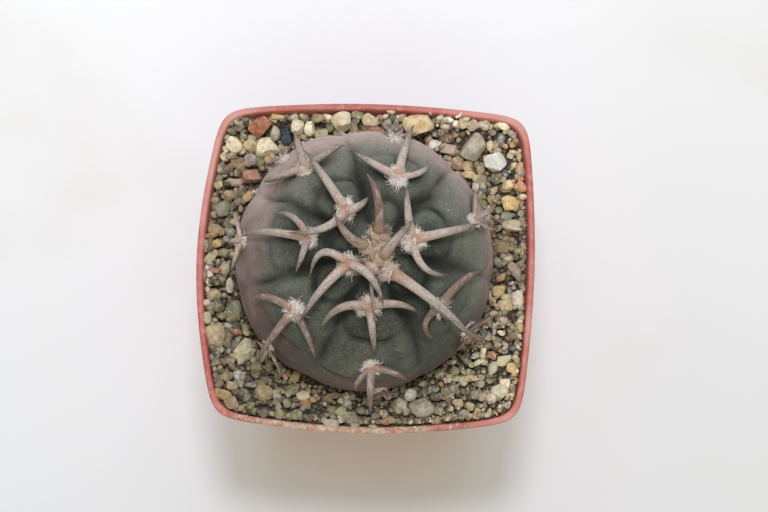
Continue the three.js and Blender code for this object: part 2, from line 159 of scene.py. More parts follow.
def paint(code):  # a web colour as Blender's linear one
    channels = [int(code[i:i + 2], 16) / 255 for i in (1, 3, 5)]
    return [c / 12.92 if c < 0.04045 else ((c + 0.055) / 1.055) ** 2.4 for c in channels] + [1]


def makeMaterial(name, look):  # the look turns a place in millimetres into what surface() gives
    material = bpy.data.materials.new(name)
    material.use_nodes = True
    material.node_tree.nodes.clear()
    coordinates = material.node_tree.nodes.new("ShaderNodeTexCoord")
    place = Wire(coordinates.outputs["Object"]).stretched(1000, 1000, 1000)
    shader = place.node("ShaderNodeBsdfPrincipled", None, look(place))
    place.node("ShaderNodeOutputMaterial", None, {"Surface": shader})
    return material


def surface(colour, roughness, normal, **constants):
    inputs = {"Base Color": colour, "Roughness": roughness, "Normal": normal}
    return inputs | {name.replace("_", " "): value for name, value in constants.items()}


# Meshes and finished pieces


def addObject(name, data):
    made = bpy.data.objects.new(name, data)
    bpy.context.scene.collection.objects.link(made)
    return made


def meshFrom(bm, name):
    mesh = bpy.data.meshes.new(name)
    bm.to_mesh(mesh)
    bm.free()
    return mesh


def finishPiece(bm, name, materials, replaced=(), sharpFrom=None):
    bmesh.ops.scale(bm, vec=(metres, metres, metres), verts=bm.verts)
    mesh = meshFrom(bm, name)
    for material in materials:
        mesh.materials.append(material)
    mesh.shade_smooth()
    if sharpFrom:
        mesh.set_sharp_from_angle(angle=radians(sharpFrom))
    piece = addObject(name, mesh)
    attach(piece, "root")
    if replaced:
        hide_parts(*replaced)


def addInBatches(whole, items, add, size=90):  # a small mesh is quicker to add to than a large one
    for first in range(0, len(items), size):
        bm = bmesh.new()
        for item in items[first:first + size]:
            add(bm, item)
        mesh = meshFrom(bm, "batch")
        whole.from_mesh(mesh)
        bpy.data.meshes.remove(mesh)


def valueLayers(bm, *names):  # what a material reads, made where it is missing
    floats = bm.verts.layers.float
    return {name: floats.get(name) or floats.new(name) for name in names}


def ballShare(vert):  # how far down a unit ball a vertex lies, from 0 to 1
    return acos(max(-1, min(1, vert.co.z))) / pi


def lathe(points, steps, rounded=()):  # the points are (radius, height), some of them rounded off
    bm = bmesh.new()
    line = [bm.verts.new((radius, 0, height)) for radius, height in points]
    for pair in zip(line, line[1:]):
        bm.edges.new(pair)
    for corner, offset in rounded:
        bmesh.ops.bevel(bm, geom=[line[corner]], offset=offset, affect="VERTICES", segments=4,
                        profile=0.5, material=-1)
    bmesh.ops.spin(bm, geom=bm.verts[:] + bm.edges[:], axis=(0, 0, 1), cent=(0, 0, 0),
                   angle=2 * pi, steps=steps, use_merge=True)
    bmesh.ops.remove_doubles(bm, verts=bm.verts, dist=1e-4)
    return bm


def cutAway(bm, cuts):  # a new mesh: the first less the second, both in millimetres
    whole, cutter = [addObject("cut", meshFrom(piece, "cut")) for piece in (bm, cuts)]
    cut = whole.modifiers.new("cut", "BOOLEAN")
    cut.operation = "DIFFERENCE"
    cut.solver = "EXACT"
    cut.object = cutter
    bpy.context.view_layer.update()
    left = bmesh.new()
    left.from_mesh(whole.evaluated_get(bpy.context.evaluated_depsgraph_get()).data)
    for made in (whole, cutter):
        bpy.data.objects.remove(made)
    return left


# Camera, light and floor

view = {
    "place": (3.82, -74.43, 498.46),
    "tilt": 10,
    "lens": 100,
    "sensor": 36,
    "sky": "#fafcf1",
    "skyStrength": 0.5,
    # place, size, watts and colour of each soft lamp
    "lamps": {
        "overhead": ((0, 100, 700), 110, 1.75, (0.87, 0.87, 1)),
        "back": ((0, 520, 480), 420, 1.2, (0.88, 0.88, 1)),
        "front": ((0, -350, 600), 400, 0.6, (1, 0.97, 0.66)),
    },
    # the floor is painted lighter towards the back (painted light) and darker towards the right (painted
    # shade)
    "floorNear": "#e8eaee",
    "floorFar": "#fbfdff",
    "floorStain": "#e4ddd6",
    "floorSideShade": "#d9d6d3",
    "floorShadow": "#dcc3a2",
}


def addLamp(name, place, size, watts, colour):
    light = bpy.data.lights.new(name, "AREA")
    light.shape = "DISK"
    light.size = size * metres
    light.energy = watts
    light.color = colour
    lamp = addObject(name, light)
    lamp.location = Vector(place) * metres
    lamp.rotation_euler = (-lamp.location).to_track_quat("-Z", "Y").to_euler()


def clothLook(place):
    x, y = place.part("X"), place.part("Y")
    stain = place.noise(0.012, 3).fade(0.5, 0.8)
    under = y.fade(-49, -30) * (1 - y.fade(-27, -12)) * (1 - abs(x).fade(14, 34))  # the pot's shadow
    # painted light: the floor grows lighter towards the back; painted shade darkens its right side
    tone = ((y + 60) * 0.007).ramp((0, view["floorNear"]), (1, view["floorFar"])).tints(
        (view["floorStain"], stain * 0.5),
        (view["floorSideShade"], x.fade(25, 80) * 0.25),
        (view["floorShadow"], under * 0.28),
    )
    return surface(tone, 0.85, place.noise(0.6, 4).bump(0.05))


def makeView():
    lens = bpy.data.cameras.new("camera")
    lens.lens = view["lens"]
    lens.sensor_width = view["sensor"]
    camera = addObject("camera", lens)
    camera.location = Vector(view["place"]) * metres
    camera.rotation_euler = (radians(view["tilt"]), 0, 0)
    scene = bpy.context.scene
    scene.camera = camera
    scene.view_settings.view_transform = "Standard"

    world = bpy.data.worlds.new("studio")
    world.use_nodes = True
    backdrop = world.node_tree.nodes["Background"]
    backdrop.inputs["Color"].default_value = paint(view["sky"])
    backdrop.inputs["Strength"].default_value = view["skyStrength"]
    scene.world = world
    for name, lamp in view["lamps"].items():
        addLamp(name, *lamp)

    bm = bmesh.new()
    bmesh.ops.create_grid(bm, x_segments=8, y_segments=8, size=2)
    mesh = meshFrom(bm, "floor")
    mesh.materials.append(makeMaterial("paleCloth", clothLook))
    addObject("floor", mesh)


makeView()
print("view made")

# Pot

pot = {
    "height": 64,
    "baseHalf": 25,
    "rimHalf": 33,
    "squareness": 13,
    "bulge": {"left": 3.8, "right": 1.85, "back": 1.75, "front": 2.5},
    "bulgeFade": 1.5,
    "cornerBunching": 0.2,
    "corners": ((-1, 1, 2.4, 0.8), (1, 1, 1.4, -1.1), (1, -1, -1, 0.3), (-1, -1, 1.1, 1.5)),
    "collarHeight": 8,
    "collarStep": 0.6,
    "collarBevel": 0.4,
    "collarRound": (0.15, 0.2),
    "wall": 0.7,
    "floor": 1.6,
    "edgeRound": 0.35,
    "baseRound": 1,
    "hole": {"radius": 2.5, "spacing": 15, "sides": 32},
    "notch": {"width": 7, "height": 1, "depth": 2},
    "steps": 176,
    "sharpFrom": 40,
    "snug": 0.9992,  # keeps its smoother curves within the solids' box
    "plastic": "#bd695d",
    "plasticPale": "#cf8f84",
    "plasticDeep": "#ad5045",
    "dust": "#c9b79c",
    "crumbPale": "#e9e2cf",
    "crumbDark": "#8d8761",
    "scratch": "#f0d3c8",
}


def halfWidth(height):
    return lerp(pot["baseHalf"], pot["rimHalf"], height / pot["height"])


def squareUp(point):  # from round to the pot's rounded, bulging square
    radius = hypot(point.x, point.y)
    if radius < 1e-6:
        return point
    turned = atan2(point.y, point.x)
    angle = turned + pot["cornerBunching"] * sin(4 * turned)
    power = abs(cos(angle)) ** pot["squareness"] + abs(sin(angle)) ** pot["squareness"]
    reach = radius / power ** (1 / pot["squareness"])
    rise = point.z / pot["height"]
    x, y = reach * cos(angle), reach * sin(angle)
    u, v = x / halfWidth(point.z), y / halfWidth(point.z)
    bulge = pot["bulge"]
    bulgeX = bulge["right" if u > 0 else "left"] * max(0, 1 - v * v) ** pot["bulgeFade"]
    bulgeY = bulge["back" if v > 0 else "front"] * max(0, 1 - u * u) ** pot["bulgeFade"]
    x += u * bulgeX * rise
    y += v * bulgeY * rise
    for right, back, shiftX, shiftY in pot["corners"]:
        weight = (1 + right * u) * (1 + back * v) * rise / 4
        x += shiftX * weight
        y += shiftY * weight
    return Vector((x, y, point.z))


def squareLathe(profile, steps, rounded=()):  # the profile is (inset from the collar's face, height)
    bm = lathe([(0 if inset is None else halfWidth(height) - inset, height) for inset, height in profile],
               steps, rounded)
    for vert in bm.verts:
        vert.co = squareUp(vert.co)
    bmesh.ops.recalc_face_normals(bm, faces=bm.faces)
    return bm


def plasticLook(place):
    x, y, z = (place.part(axis) for axis in "XYZ")
    top = z.fade(62.6, 63.9)
    blotches = (place.noise(0.07, 2) - 0.5) * (0.16 + 0.84 * top)
    scuffs = place.stretched(1, 1, 0.08).noise(1.1, 4, 0.7).fade(0.56, 0.72) * (1 - z.fade(48, 62))
    dusty = place.noise(0.9, 5, 0.75).fade(0.5, 0.64) * (0.25 + place.noise(0.09, 1).fade(0.42, 0.62))
    sandy = top * (0 - y).fade(24, 33) * x.fade(-24, -18) * (0 - x).fade(-16, -11)  # the front rim
    crumbs = place.cells(1.8, "Color").part("X")
    # the 0.07 * y term paints the plastic lighter towards the back: painted light
    tone = (0.52 + blotches + 0.07 * y.fade(-34, 34)).ramp(
        (0.38, pot["plasticDeep"]), (0.56, pot["plastic"]), (0.74, pot["plasticPale"]))
    tone = tone.tints(
        (pot["plasticPale"], scuffs * 0.3),
        (pot["plasticPale"], place.noise(0.5, 4, 0.7).fade(0.45, 0.7) * top * 0.75),
        (pot["dust"], dusty * 0.2),
        (pot["dust"], place.noise(0.55, 5, 0.7).fade(0.4, 0.56) * sandy * 0.75),
        (pot["crumbPale"], crumbs.fade(0.6, 0.9) * sandy * 0.25),
        (pot["crumbDark"], crumbs.fade(0.35, 0.1) * sandy * 0.3),
        (pot["scratch"], place.noise(1.6, 4, 0.8).fade(0.62, 0.7) * top * 0.6),
    )
    grain = place.noise(3, 3) * 0.6 + place.noise(0.5, 3)
    return surface(tone, 0.42 + 0.25 * dusty + 0.1 * place.noise(0.8, 3), grain.bump(0.06))


def makePot():
    step, inner = pot["collarStep"], pot["collarStep"] + pot["wall"]
    top, foot = pot["height"], pot["height"] - pot["collarHeight"]
    edge, base, floor = pot["edgeRound"], pot["baseRound"], pot["floor"]
    profile = ((None, 0), (step, 0), (step, foot), (0, foot + pot["collarBevel"]), (0, top), (inner, top),
               (inner, floor), (None, floor))
    under, over = pot["collarRound"]
    rounded = ((1, base), (2, under), (3, over), (4, edge), (5, edge), (6, base))
    bm = squareLathe(profile, pot["steps"], rounded)
    bmesh.ops.scale(bm, vec=(pot["snug"], pot["snug"], 1), verts=bm.verts)

    cuts = bmesh.new()
    hole, notch = pot["hole"], pot["notch"]
    for column in (-1, 0, 1):
        for row in (-1, 0, 1):
            if column or row:
                spot = Matrix.Translation((column * hole["spacing"], row * hole["spacing"], 0))
                bmesh.ops.create_cone(cuts, cap_ends=True, segments=hole["sides"], matrix=spot,
                                      radius1=hole["radius"], radius2=hole["radius"], depth=4 * floor)
    for side in range(4):
        turn = Matrix.Rotation(side * pi / 2, 4, "Z") @ Matrix.Translation((0, pot["baseHalf"], 0))
        block = Matrix.Diagonal((notch["width"], 2 * notch["depth"], 2 * notch["height"], 1))
        bmesh.ops.create_cube(cuts, size=1, matrix=turn @ block)
    plastic = makeMaterial("pinkTerracottaPlastic", plasticLook)
    finishPiece(cutAway(bm, cuts), "nursery_pot", [plastic], ["pot"], pot["sharpFrom"])


makePot()
print("pot made")

# Plant body

plant = {
    "centre": (-0.1, 0.6, 68),
    "leanAngle": 8,
    "leanTowards": -24,
    "radius": 26.4,
    "crown": 19,
    "roundness": 2 / 2.2,
    "bowlDepth": 20,
    "bowlPower": 2.4,
    "rootRadius": 6.5,
    "rootDepth": 52,
    "rootPower": 1.5,
    "neckBlend": 4,
    "rootRings": 0.75,
    "ribs": (19, 75, 128, 172, 218, 270, 322),
    "furrows": ((0, 0), (12, 0.7), (30, 1.4), (55, 1.1), (80, 0.5), (95, 0.25), (112, 0), (180, 0)),
    "ribFlatness": 4,
    "creaseWidth": 1.7,
    "creaseShare": 0.5,
    "chinHeight": 0.5,
    "chinOffset": 8,
    "chinSpread": 6,
    "foldDepth": 0.7,
    "foldOffset": 2,
    "foldSpread": 4,
    "foldBend": 7,
    "crownEase": (1, 10),
    "lineWidth": 0.45,
    "lineDepth": 0.5,
    "pinch": 0.35,  # a sharper crease along the middle of each fold and furrow
    "pinchWidth": 1,
    "waver": ((0.9, 0.16), (0.25, 0.6)),  # furrows and folds stray from their lines
    "foldWaver": ((1.5, 0.2),),
    "lumps": ((0.22, 0.13), (0.07, 0.55)),
    "around": 392,
    "rings": 200,
    "ringCrowding": 1.3,
    "green": "#494d42",
    "greenPale": "#696d5f",
    "greenDeep": "#363a30",
    "greenLow": "#666a58",
    "freckleDark": "#262b22",
    "frecklePale": "#7f8773",
    "bloomAndSheen": "#918e84",
    "tan": "#554a38",
    "mauve": "#c1a8a2",
    "mauveDeep": "#6b524e",
    # the next four are dark tones painted as shade: in the side furrows, on the front and near the crown and
    # under the spines, in the furrows, and along the creases
    "mauveFurrowShade": "#4b3b37",
    "hollow": "#171a14",
    "furrow": "#1c1f1a",
    "crease": "#1c1f1b",
    "pore": "#2b2f2b",
    "corky": "#84705c",
    "speckle": "#a3a99c",
    "fleck": "#d9ddd2",
    "star": "#e6e8e0",
}

lean = radians(plant["leanTowards"])
plantMatrix = Matrix.Translation(plant["centre"]) @ Matrix.Rotation(
    radians(plant["leanAngle"]), 4, (-sin(lean), cos(lean), 0))

# Areoles by rib, from the crown outwards: angle down from the crown, turn off the rib's middle, size of the
# felt pad, and the spines: heading of the tip, its distance, its rise, arch, sweep, and radius at the root
areoles = (
    ((14, -3, 2.1, ((95, 11, 0, 1.9, 1, 1.1), (16, 14.8, -4.5, 2.7, -0.4, 1.15),
                    (320, 10.4, -1.4, 1.9, -3.2, 0.95))),
     (53, 0, 1.5, ((31, 5, -0.6, 1.5, 0.3, 0.9), (342, 5.2, -1.8, 0.7, -1.2, 0.5),
                   (82, 6.4, -5, 1.5, 2, 0.7))),
     (88, 2, 1.3, ((50, 3.6, -2.6, 0.5, 0.6, 0.55), (338, 3.4, -2.8, 0.5, -0.6, 0.55)))),
    ((6, 9, 1.5, ((102, 11.9, 0, 3.4, -0.6, 1.2), (21, 2.4, 1.5, 0.7, -0.1, 0.4),
                  (352, 3, 1, 0.5, 0, 0.4))),
     (33, -2, 1.9, ((150, 10.8, -1.9, 1.7, 1.3, 1.05), (72, 11.9, -3, 0.6, 0.4, 1.15),
                    (32, 7.7, -3.2, 1.4, -2, 0.8))),
     (64, 3, 1.4, ((123, 4.9, -4.5, 0.7, 0.9, 0.6), (58, 2.9, -1.8, 0.3, -0.4, 0.5),
                   (20, 5.1, -4.4, 0.5, -0.6, 0.6)))),
    ((19, 0, 1.9, ((123, 14.8, -3.3, 1.7, 0.1, 1.15), (33, 5.2, 1.2, 1.1, -1, 1.1),
                   (202, 12.5, 0.4, 2, 2.4, 1.1))),
     (52, 1, 1.7, ((103, 8.3, -3.9, 1.4, -0.3, 1), (195, 8, -6.2, 2.1, 2.4, 0.95),
                   (31, 9.3, 0.6, 1.4, -1.3, 0.95))),
     (77, 3, 1.3, ((195, 3.6, -4.7, 0.5, 0.9, 0.6), (99, 2.4, -2.5, 0.3, -0.3, 0.55),
                   (56, 5.3, -4.2, 0.4, -0.2, 0.5)))),
    ((4, -8, 1.4, ((137, 8.9, 2.7, 2, 1.4, 1.2),)),
     (28, -1, 1.7, ((175, 12.7, -9.3, 3.1, -0.5, 1), (144, 8.4, -3.2, 1.8, -1.8, 0.85),
                    (251, 7.3, -0.2, 1.8, 0.6, 0.9))),
     (73, 2, 1.5, ((186, 2.9, 0, 1, 0.6, 0.75), (253, 6.4, -2.2, 0.6, 1.4, 0.8),
                   (106, 6.9, -3.4, 0.3, -1.2, 0.7)))),
    ((12, -9, 1.9, ((202, 8, -0.5, 2.1, -3.8, 1), (231, 14.6, -2.4, 2.9, -0.7, 1.15),
                    (309, 10.6, 3.1, 2.2, 1.6, 1.15))),
     (45, -1, 1.8, ((169, 8.1, -6.8, 2.1, -2.8, 0.95), (234, 11.8, -6.9, 0.8, -0.1, 1.05),
                    (296, 10.3, -3.2, 1.9, 1.5, 0.9))),
     (86, 5, 1.3, ((150, 3.2, 0.4, 0.4, -1.6, 0.6), (242, 3.4, -2.6, 0.8, 0.5, 0.65),
                   (300, 6.3, -3, 0.6, 2.2, 0.5)))),
    ((7, -12, 1.1, ((273, 10.7, 1.5, 1.8, -0.6, 0.55),)),
     (23, -6, 2, ((205, 10.4, -1.8, 2.2, -2.7, 1.1), (354, 9.9, -0.3, 2, 1.6, 1.05),
                  (279, 9.1, -2.8, 1.9, -0.1, 1))),
     (56, 0, 1.6, ((241, 5, -4.3, 1.6, -1.6, 0.8), (272, 8.8, -3.1, 2.6, -0.4, 1),
                   (342, 7.9, -2.1, 1.5, 1.9, 0.9))),
     (88, 7, 1.3, ((301, 2.6, -0.4, 0.4, 1.2, 0.5), (221, 2.8, -0.8, 0.4, -1.2, 0.5),
                   (357, 3.4, 0.6, 0.5, 1.8, 0.5)))),
    ((3, -3, 1.4, ((51, 8.7, 3.1, 2.3, 0.2, 1.2),)),
     (10, -18, 1.6, ((322, 22.5, -3.9, 3.1, 0.6, 1.25),)),
     (37, -2, 1.7, ((39, 11.8, -3.3, 2.3, 2.6, 1.05), (306, 3.2, -0.8, 0.6, -0.3, 0.9),
                    (263, 6.4, -2.1, 1.4, -3.4, 0.85))),
     (68, 1, 1.5, ((31, 6.6, 2, 0.6, 2.4, 0.85), (238, 4.3, -1.9, 0.8, -1, 0.7),
                   (333, 3.9, -2.5, 1.2, 0, 0.75)))),
)


def stepped(stops, at):
    for (start, low), (end, high) in zip(stops, stops[1:]):
        if at <= end:
            return lerp(low, high, smoothStep(at, start, end))
    return stops[-1][1]


def furrowBefore(rib):
    ribs = plant["ribs"]
    before = ribs[rib - 1] - (360 if rib == 0 else 0)
    return (before + ribs[rib]) / 2


furrowLines = [furrowBefore(rib) for rib in range(len(plant["ribs"]))] + [furrowBefore(0) + 360]


def acrossRib(turn):  # the rib, and how far across it from -1 to 1
    turned = furrowLines[0] + (turn - furrowLines[0]) % 360
    for rib, (start, end) in enumerate(zip(furrowLines, furrowLines[1:])):
        if turned <= end:
            return rib, 2 * (turned - start) / (end - start) - 1
    return 0, -1


def bodyProfile(down):  # radius, height and outward normal, without the ribs
    sine, cosine = sin(radians(down)), cos(radians(down))
    if cosine >= 0:
        radius = plant["radius"] * max(0, sine) ** plant["roundness"]
        height = plant["crown"] * cosine ** plant["roundness"]
        power = 2 / plant["roundness"] - 1
        normal = Vector(((radius / plant["radius"]) ** power / plant["radius"],
                         (height / plant["crown"]) ** power / plant["crown"])).normalized()
        return radius, height, normal
    depth = plant["rootDepth"] * (1 - sine) ** plant["rootRings"]
    power = plant["bowlPower"]
    bowl = plant["radius"] * max(0, 1 - (depth / plant["bowlDepth"]) ** power) ** (1 / power)
    root = plant["rootRadius"] * max(0, 1 - (depth / plant["rootDepth"]) ** plant["rootPower"])
    blend = plant["neckBlend"]
    return (bowl ** blend + root ** blend) ** (1 / blend), -depth, Vector((1, 0))


def relief(down, turn, radius, centre=None):  # height of the skin, and how much of a crease it is in
    fine = centre is not None
    rib, across = acrossRib(turn)
    side = abs(across)
    middle = 1 - side * side
    fromFurrow = (1 - side) * pi * radius / len(plant["ribs"])
    furrow = stepped(plant["furrows"], down)
    soft = (1 - plant["creaseShare"]) * side ** plant["ribFlatness"]
    height = -furrow * (soft + plant["creaseShare"] * hump(fromFurrow, plant["creaseWidth"]))
    line = hump(fromFurrow, plant["lineWidth"]) * smoothStep(furrow, 0.45, 1.2)
    places = [areole[0] for areole in areoles[rib]]
    bend = plant["foldBend"] * side * side if fine else 0
    onSkin = 57.3 / plant["radius"]  # degrees for each millimetre
    for i, place in enumerate(places):
        height += plant["chinHeight"] * middle * hump(down - place - plant["chinOffset"], plant["chinSpread"])
        if i == 0:
            continue
        fromFold = down - ((places[i - 1] + place) / 2 + plant["foldOffset"] - bend)
        height -= plant["foldDepth"] * middle * hump(fromFold, plant["foldSpread"])
        if fine:
            patchy = smoothStep(noise.noise(centre * 0.11 + Vector((3 * rib, 7 * i, 0))), 0.02, 0.25)
            crease = hump(fromFold, plant["lineWidth"] * onSkin) * smoothStep(middle, 0.1, 0.5)
            line = max(line, crease * patchy)
            height -= plant["pinch"] * middle * hump(fromFold, plant["pinchWidth"] * onSkin)
    if fine:
        height -= plant["pinch"] * smoothStep(furrow, 0.3, 1.2) * hump(fromFurrow, plant["pinchWidth"])
        line *= 0.55 + 0.45 * smoothStep(noise.noise(centre * 0.25), -0.2, 0.15)
        height -= plant["lineDepth"] * line
    return height * smoothStep(down, *plant["crownEase"]), line


def bodyPoint(down, turn):
    radius, height, normal = bodyProfile(down)
    out = relief(down, turn, radius)[0]
    return polar(turn, max(0, radius + out * normal.x), height + out * normal.y)


def outward(down, turn):
    return polar(turn, *bodyProfile(down)[2])


def skinLook(place):
    x, y = place.part("X"), place.part("Y")
    down = place.attribute("down") * 180
    line, low, shade = (place.attribute(name) for name in ("line", "low", "shade"))
    # back paints the skin lighter towards the back, where the light comes from: painted light
    back = (y + 0.3 * x).fade(-24, 26)
    freckled = place.noise(0.75, 5, 0.72)
    # paler: a pale waxy bloom towards the edge, made stronger at the back as a painted sheen
    paler = (down + 16 * (place.noise(0.13, 2) - 0.5)).fade(28, 60) * (0.2 + 0.75 * back)
    flush = down + 24 * (place.noise(0.11, 3) - 0.5) + 9 * back + 12 * (0 - x).fade(10, 23)
    flush = flush.fade(60, 82)
    # the mauve is painted lighter towards the back (painted light) and turns darker towards the right
    blushLitBack = place.noise(0.2, 3) * 0.6 + 0.55 * back - 0.2 * x.fade(6, 22)
    grit = (1 - place.cells(2.7).fade(0.1, 0.42)) * place.noise(0.6, 3).fade(0.3, 0.62)
    dashes = place.cells(1.05, "Color").part("X").fade(0.55, 0.6) * (1 - place.cells(1.05).fade(0.09, 0.17))
    stars = place.cells(0.42, "Color").part("X").fade(0.7, 0.72) * (1 - place.cells(0.42).fade(0.04, 0.08))
    # painted shade: the skin darkened on the front sides and near the crown, less at the back
    frontCrownShade = (0 - y).fade(7, 20) * abs(x).fade(3, 14) * 0.4 + (1 - down.fade(14, 42)) * (0.3 - 0.3 * back)
    tone = (place.noise(0.16, 4, 0.6) + 0.1 * back).ramp(
        (0.34, plant["greenDeep"]), (0.52, plant["green"]), (0.76, plant["greenPale"]))
    tone = tone.tints(
        (plant["freckleDark"], (1 - freckled.fade(0.3, 0.48)) * 0.4),
        (plant["frecklePale"], freckled.fade(0.54, 0.74) * 0.4),
        (plant["bloomAndSheen"], paler * 0.75),
        (plant["tan"], place.noise(0.3, 4, 0.65).fade(0.5, 0.68) * 0.22),
        (blushLitBack.ramp((0.3, plant["mauveDeep"]), (0.85, plant["mauve"])), flush * 0.9),
        (plant["greenLow"], (down + 14 * (place.noise(0.15, 3) - 0.5)).fade(92, 108) * 0.6),
        # painted shade in the furrows down the sides
        (plant["mauveFurrowShade"], low.fade(0.08, 0.5) * down.fade(72, 88) * 0.4),
        (plant["corky"], (down + 8 * (freckled - 0.5)).fade(104, 116)),
        (plant["speckle"], grit * (0.42 - 0.18 * flush)),
        (plant["pore"], place.noise(1.9, 5, 0.8).fade(0.5, 0.68) * (0.5 - 0.2 * flush)),
        (plant["fleck"], dashes * place.noise(0.12, 2).fade(0.4, 0.6) * 0.28),
        (plant["star"], stars * 0.8),
        # painted shade in the furrows, by their depth, strongest near the crown
        (plant["furrow"], low.fade(0.15, 1) * (0.8 - 0.6 * down.fade(22, 46))),
        # painted shade, then the spines' painted shadows
        (plant["hollow"], frontCrownShade),
        (plant["hollow"], shade.fade(0.1, 0.8) * 0.9),
        # painted shade along the crease lines
        (plant["crease"], line * 0.8),
    )
    skin = place.cells(2.7) * 0.5 + place.noise(1.1, 5, 0.65) * 1.2 + grit * 0.3
    return surface(tone, 0.62 + 0.2 * place.noise(0.7, 3), skin.bump(0.16, 0.7), Specular_IOR_Level=0.3,
                   Sheen_Weight=0.06)


def makeBody():
    bm = bmesh.new()
    layers = valueLayers(bm, "down", "line", "low", "shade")
    outwards = []
    bmesh.ops.create_uvsphere(bm, u_segments=plant["around"], v_segments=plant["rings"], radius=1)
    for vert in bm.verts:
        atAxis = hypot(vert.co.x, vert.co.y) < 1e-5
        down = 180 * ballShare(vert) ** plant["ringCrowding"]
        turn = degrees(atan2(vert.co.y, vert.co.x))
        radius, height, normal = bodyProfile(down)
        centre = polar(turn, radius, height)
        bent = turn + degrees(uneven(plant["waver"], centre) / max(radius, 3))
        out, line = relief(down + uneven(plant["foldWaver"], centre), bent, radius, centre)
        low = max(0, -out) * (1 - 0.6 * smoothStep(down, 52, 76))
        out += uneven(plant["lumps"], centre)
        vert.co = polar(turn, 0 if atAxis else max(0, radius + out * normal.x), height + out * normal.y)
        vert[layers["down"]] = down / 180
        vert[layers["line"]] = line
        vert[layers["low"]] = low
        outwards.append(polar(turn, *normal))
    shades = spineShade(np.array([vert.co for vert in bm.verts]), np.array(outwards))
    for vert, shade in zip(bm.verts, shades):
        vert[layers["shade"]] = shade
    bmesh.ops.transform(bm, matrix=plantMatrix, verts=bm.verts)
    finishPiece(bm, "cactus_body", [makeMaterial("cactusSkin", skinLook)], ["body"])


# Spines, felt and wool

spray = {
    "padHeight": 0.75,
    "padLump": 0.16,
    "highest": 92.2,
    "rootLift": 0.5,
    "rootSink": (1.5, 0.03),  # the end of the root bends down so far, over this share of the spine
    "flare": 0.4,
    "flareOver": 0.12,
    "taper": 3.1,
    "tipRadius": 0.1,
    "sides": 18,
    "rings": 36,
    "light": (0.15, 0.5, 0.85),  # where most of it comes from, for the shade on the skin
    "shadeReach": 0.6,
    "woolPerPad": 200,  # hairs for each square millimetre or so of pad
    "woolLength": (0.4, 1.45),
    "woolRadius": 0.055,
    "woolly": {(0, 0): 1.7, (0, 2): 0.45, (1, 1): 1.3, (1, 2): 0.45, (5, 1): 1.3},
    "horn": ((0, "#b28766"), (0.07, "#c2a08b"), (0.17, "#c6b3a8"), (0.45, "#b7aba2"), (0.66, "#a09289"),
             (0.82, "#877a71"), (0.93, "#64564f"), (1, "#443a35")),
    "hornFlush": "#b08273",
    # how much darker each spine is: partly its own brown, partly painted shade where a spine lies in shadow
    "brown": {(0, 1): 0.65, (0, 2): 1.2, (1, 0): 1.3, (1, 2): 0.9, (2, 1): 0.45,
              (2, 2): 1.3, (3, 0): 0.8, (3, 1): 0.35, (4, 1): 1.1, (4, 2): 0.9, (5, 0): 0.8,
              (5, 1): 0.4, (5, 2): 1, (5, 3): 1.5, (6, 0): 0.3, (6, 1): 0.05, (6, 2): 1.2, (6, 3): 1.4},
    "hornBrown": "#796055",
    "hornStreak": "#54443f",
    "hornFleck": "#4a3b36",
    "hornUnderShade": "#5a463b",
    "hornDust": "#dfd6ce",
    "felt": "#d5c6b4",
    "feltDark": "#9c7452",
    "feltPale": "#ebe4d8",
    "feltWarm": "#96693f",
    "wool": "#fdf8f5",
    "woolShade": "#e9dfd8",
    "woolWarm": "#cda264",
    "woolGold": "#a97a48",
    "woolStraw": "#dfc594",
    "woolRoot": "#7a5234",
}


class SpineLine:
    # A bent line from the root to the tip

    def __init__(self, root, tip, arch, sweep, out):
        self.root = root
        self.chord = tip - root
        self.out = out
        along = self.chord.normalized()
        up = (out - along * out.dot(along)).normalized()
        self.left = up.cross(along)
        self.swell = up * arch + self.left * sweep

    def point(self, along):
        return self.root + self.chord * along + self.swell * (4 * along * (1 - along))

    def tangent(self, along):
        return (self.point(along + 0.01) - self.point(along - 0.01)).normalized()


def spineRadius(rootRadius, along):
    taper = (1 - spray["flare"] / 2) * (1 - along ** spray["taper"])
    flare = spray["flare"] * exp(-along / spray["flareOver"])
    return max(spray["tipRadius"], rootRadius * (taper + flare))


def spineLines(rib, areole):  # the line and the root's radius of each spine, before the plant leans
    down, turnOff, pad, spines = areole
    turn = plant["ribs"][rib] + turnOff
    out = outward(down, turn)
    root = bodyPoint(down, turn) + out * spray["rootLift"]
    for spineHeading, reach, rise, arch, sweep, rootRadius in spines:
        yield SpineLine(root, root + polar(spineHeading, reach, rise), arch, sweep, out), rootRadius


def spineShade(points, outwards):  # how much the spines over each point of the skin keep the light from it
    beads = np.array([
        (*line.point(along), spineRadius(rootRadius, along) * line.chord.length / 5)
        for rib, onRib in enumerate(areoles) for areole in onRib
        for line, rootRadius in spineLines(rib, areole) for along in np.arange(0.05, 1, 0.1)])
    shades = []
    for first in range(0, len(points), 2000):
        part = slice(first, first + 2000)
        away = beads[None, :, :3] - points[part, None]
        square = (away ** 2).sum(2) + 1e-6
        facing = (away * outwards[part, None]).sum(2).clip(0)
        facing *= (away @ np.array(spray["light"])).clip(0) ** 3 / square ** 2
        shades.append((facing * beads[:, 3] / (square + spray["shadeReach"])).sum(1))
    return np.concatenate(shades)


makeBody()
print("body made")


def strandLayers(bm):
    layers = valueLayers(bm, "along", "brown", "top", "warm")
    vectors = bm.verts.layers.float_vector
    layers["own"] = vectors.get("own") or vectors.new("own")
    return layers


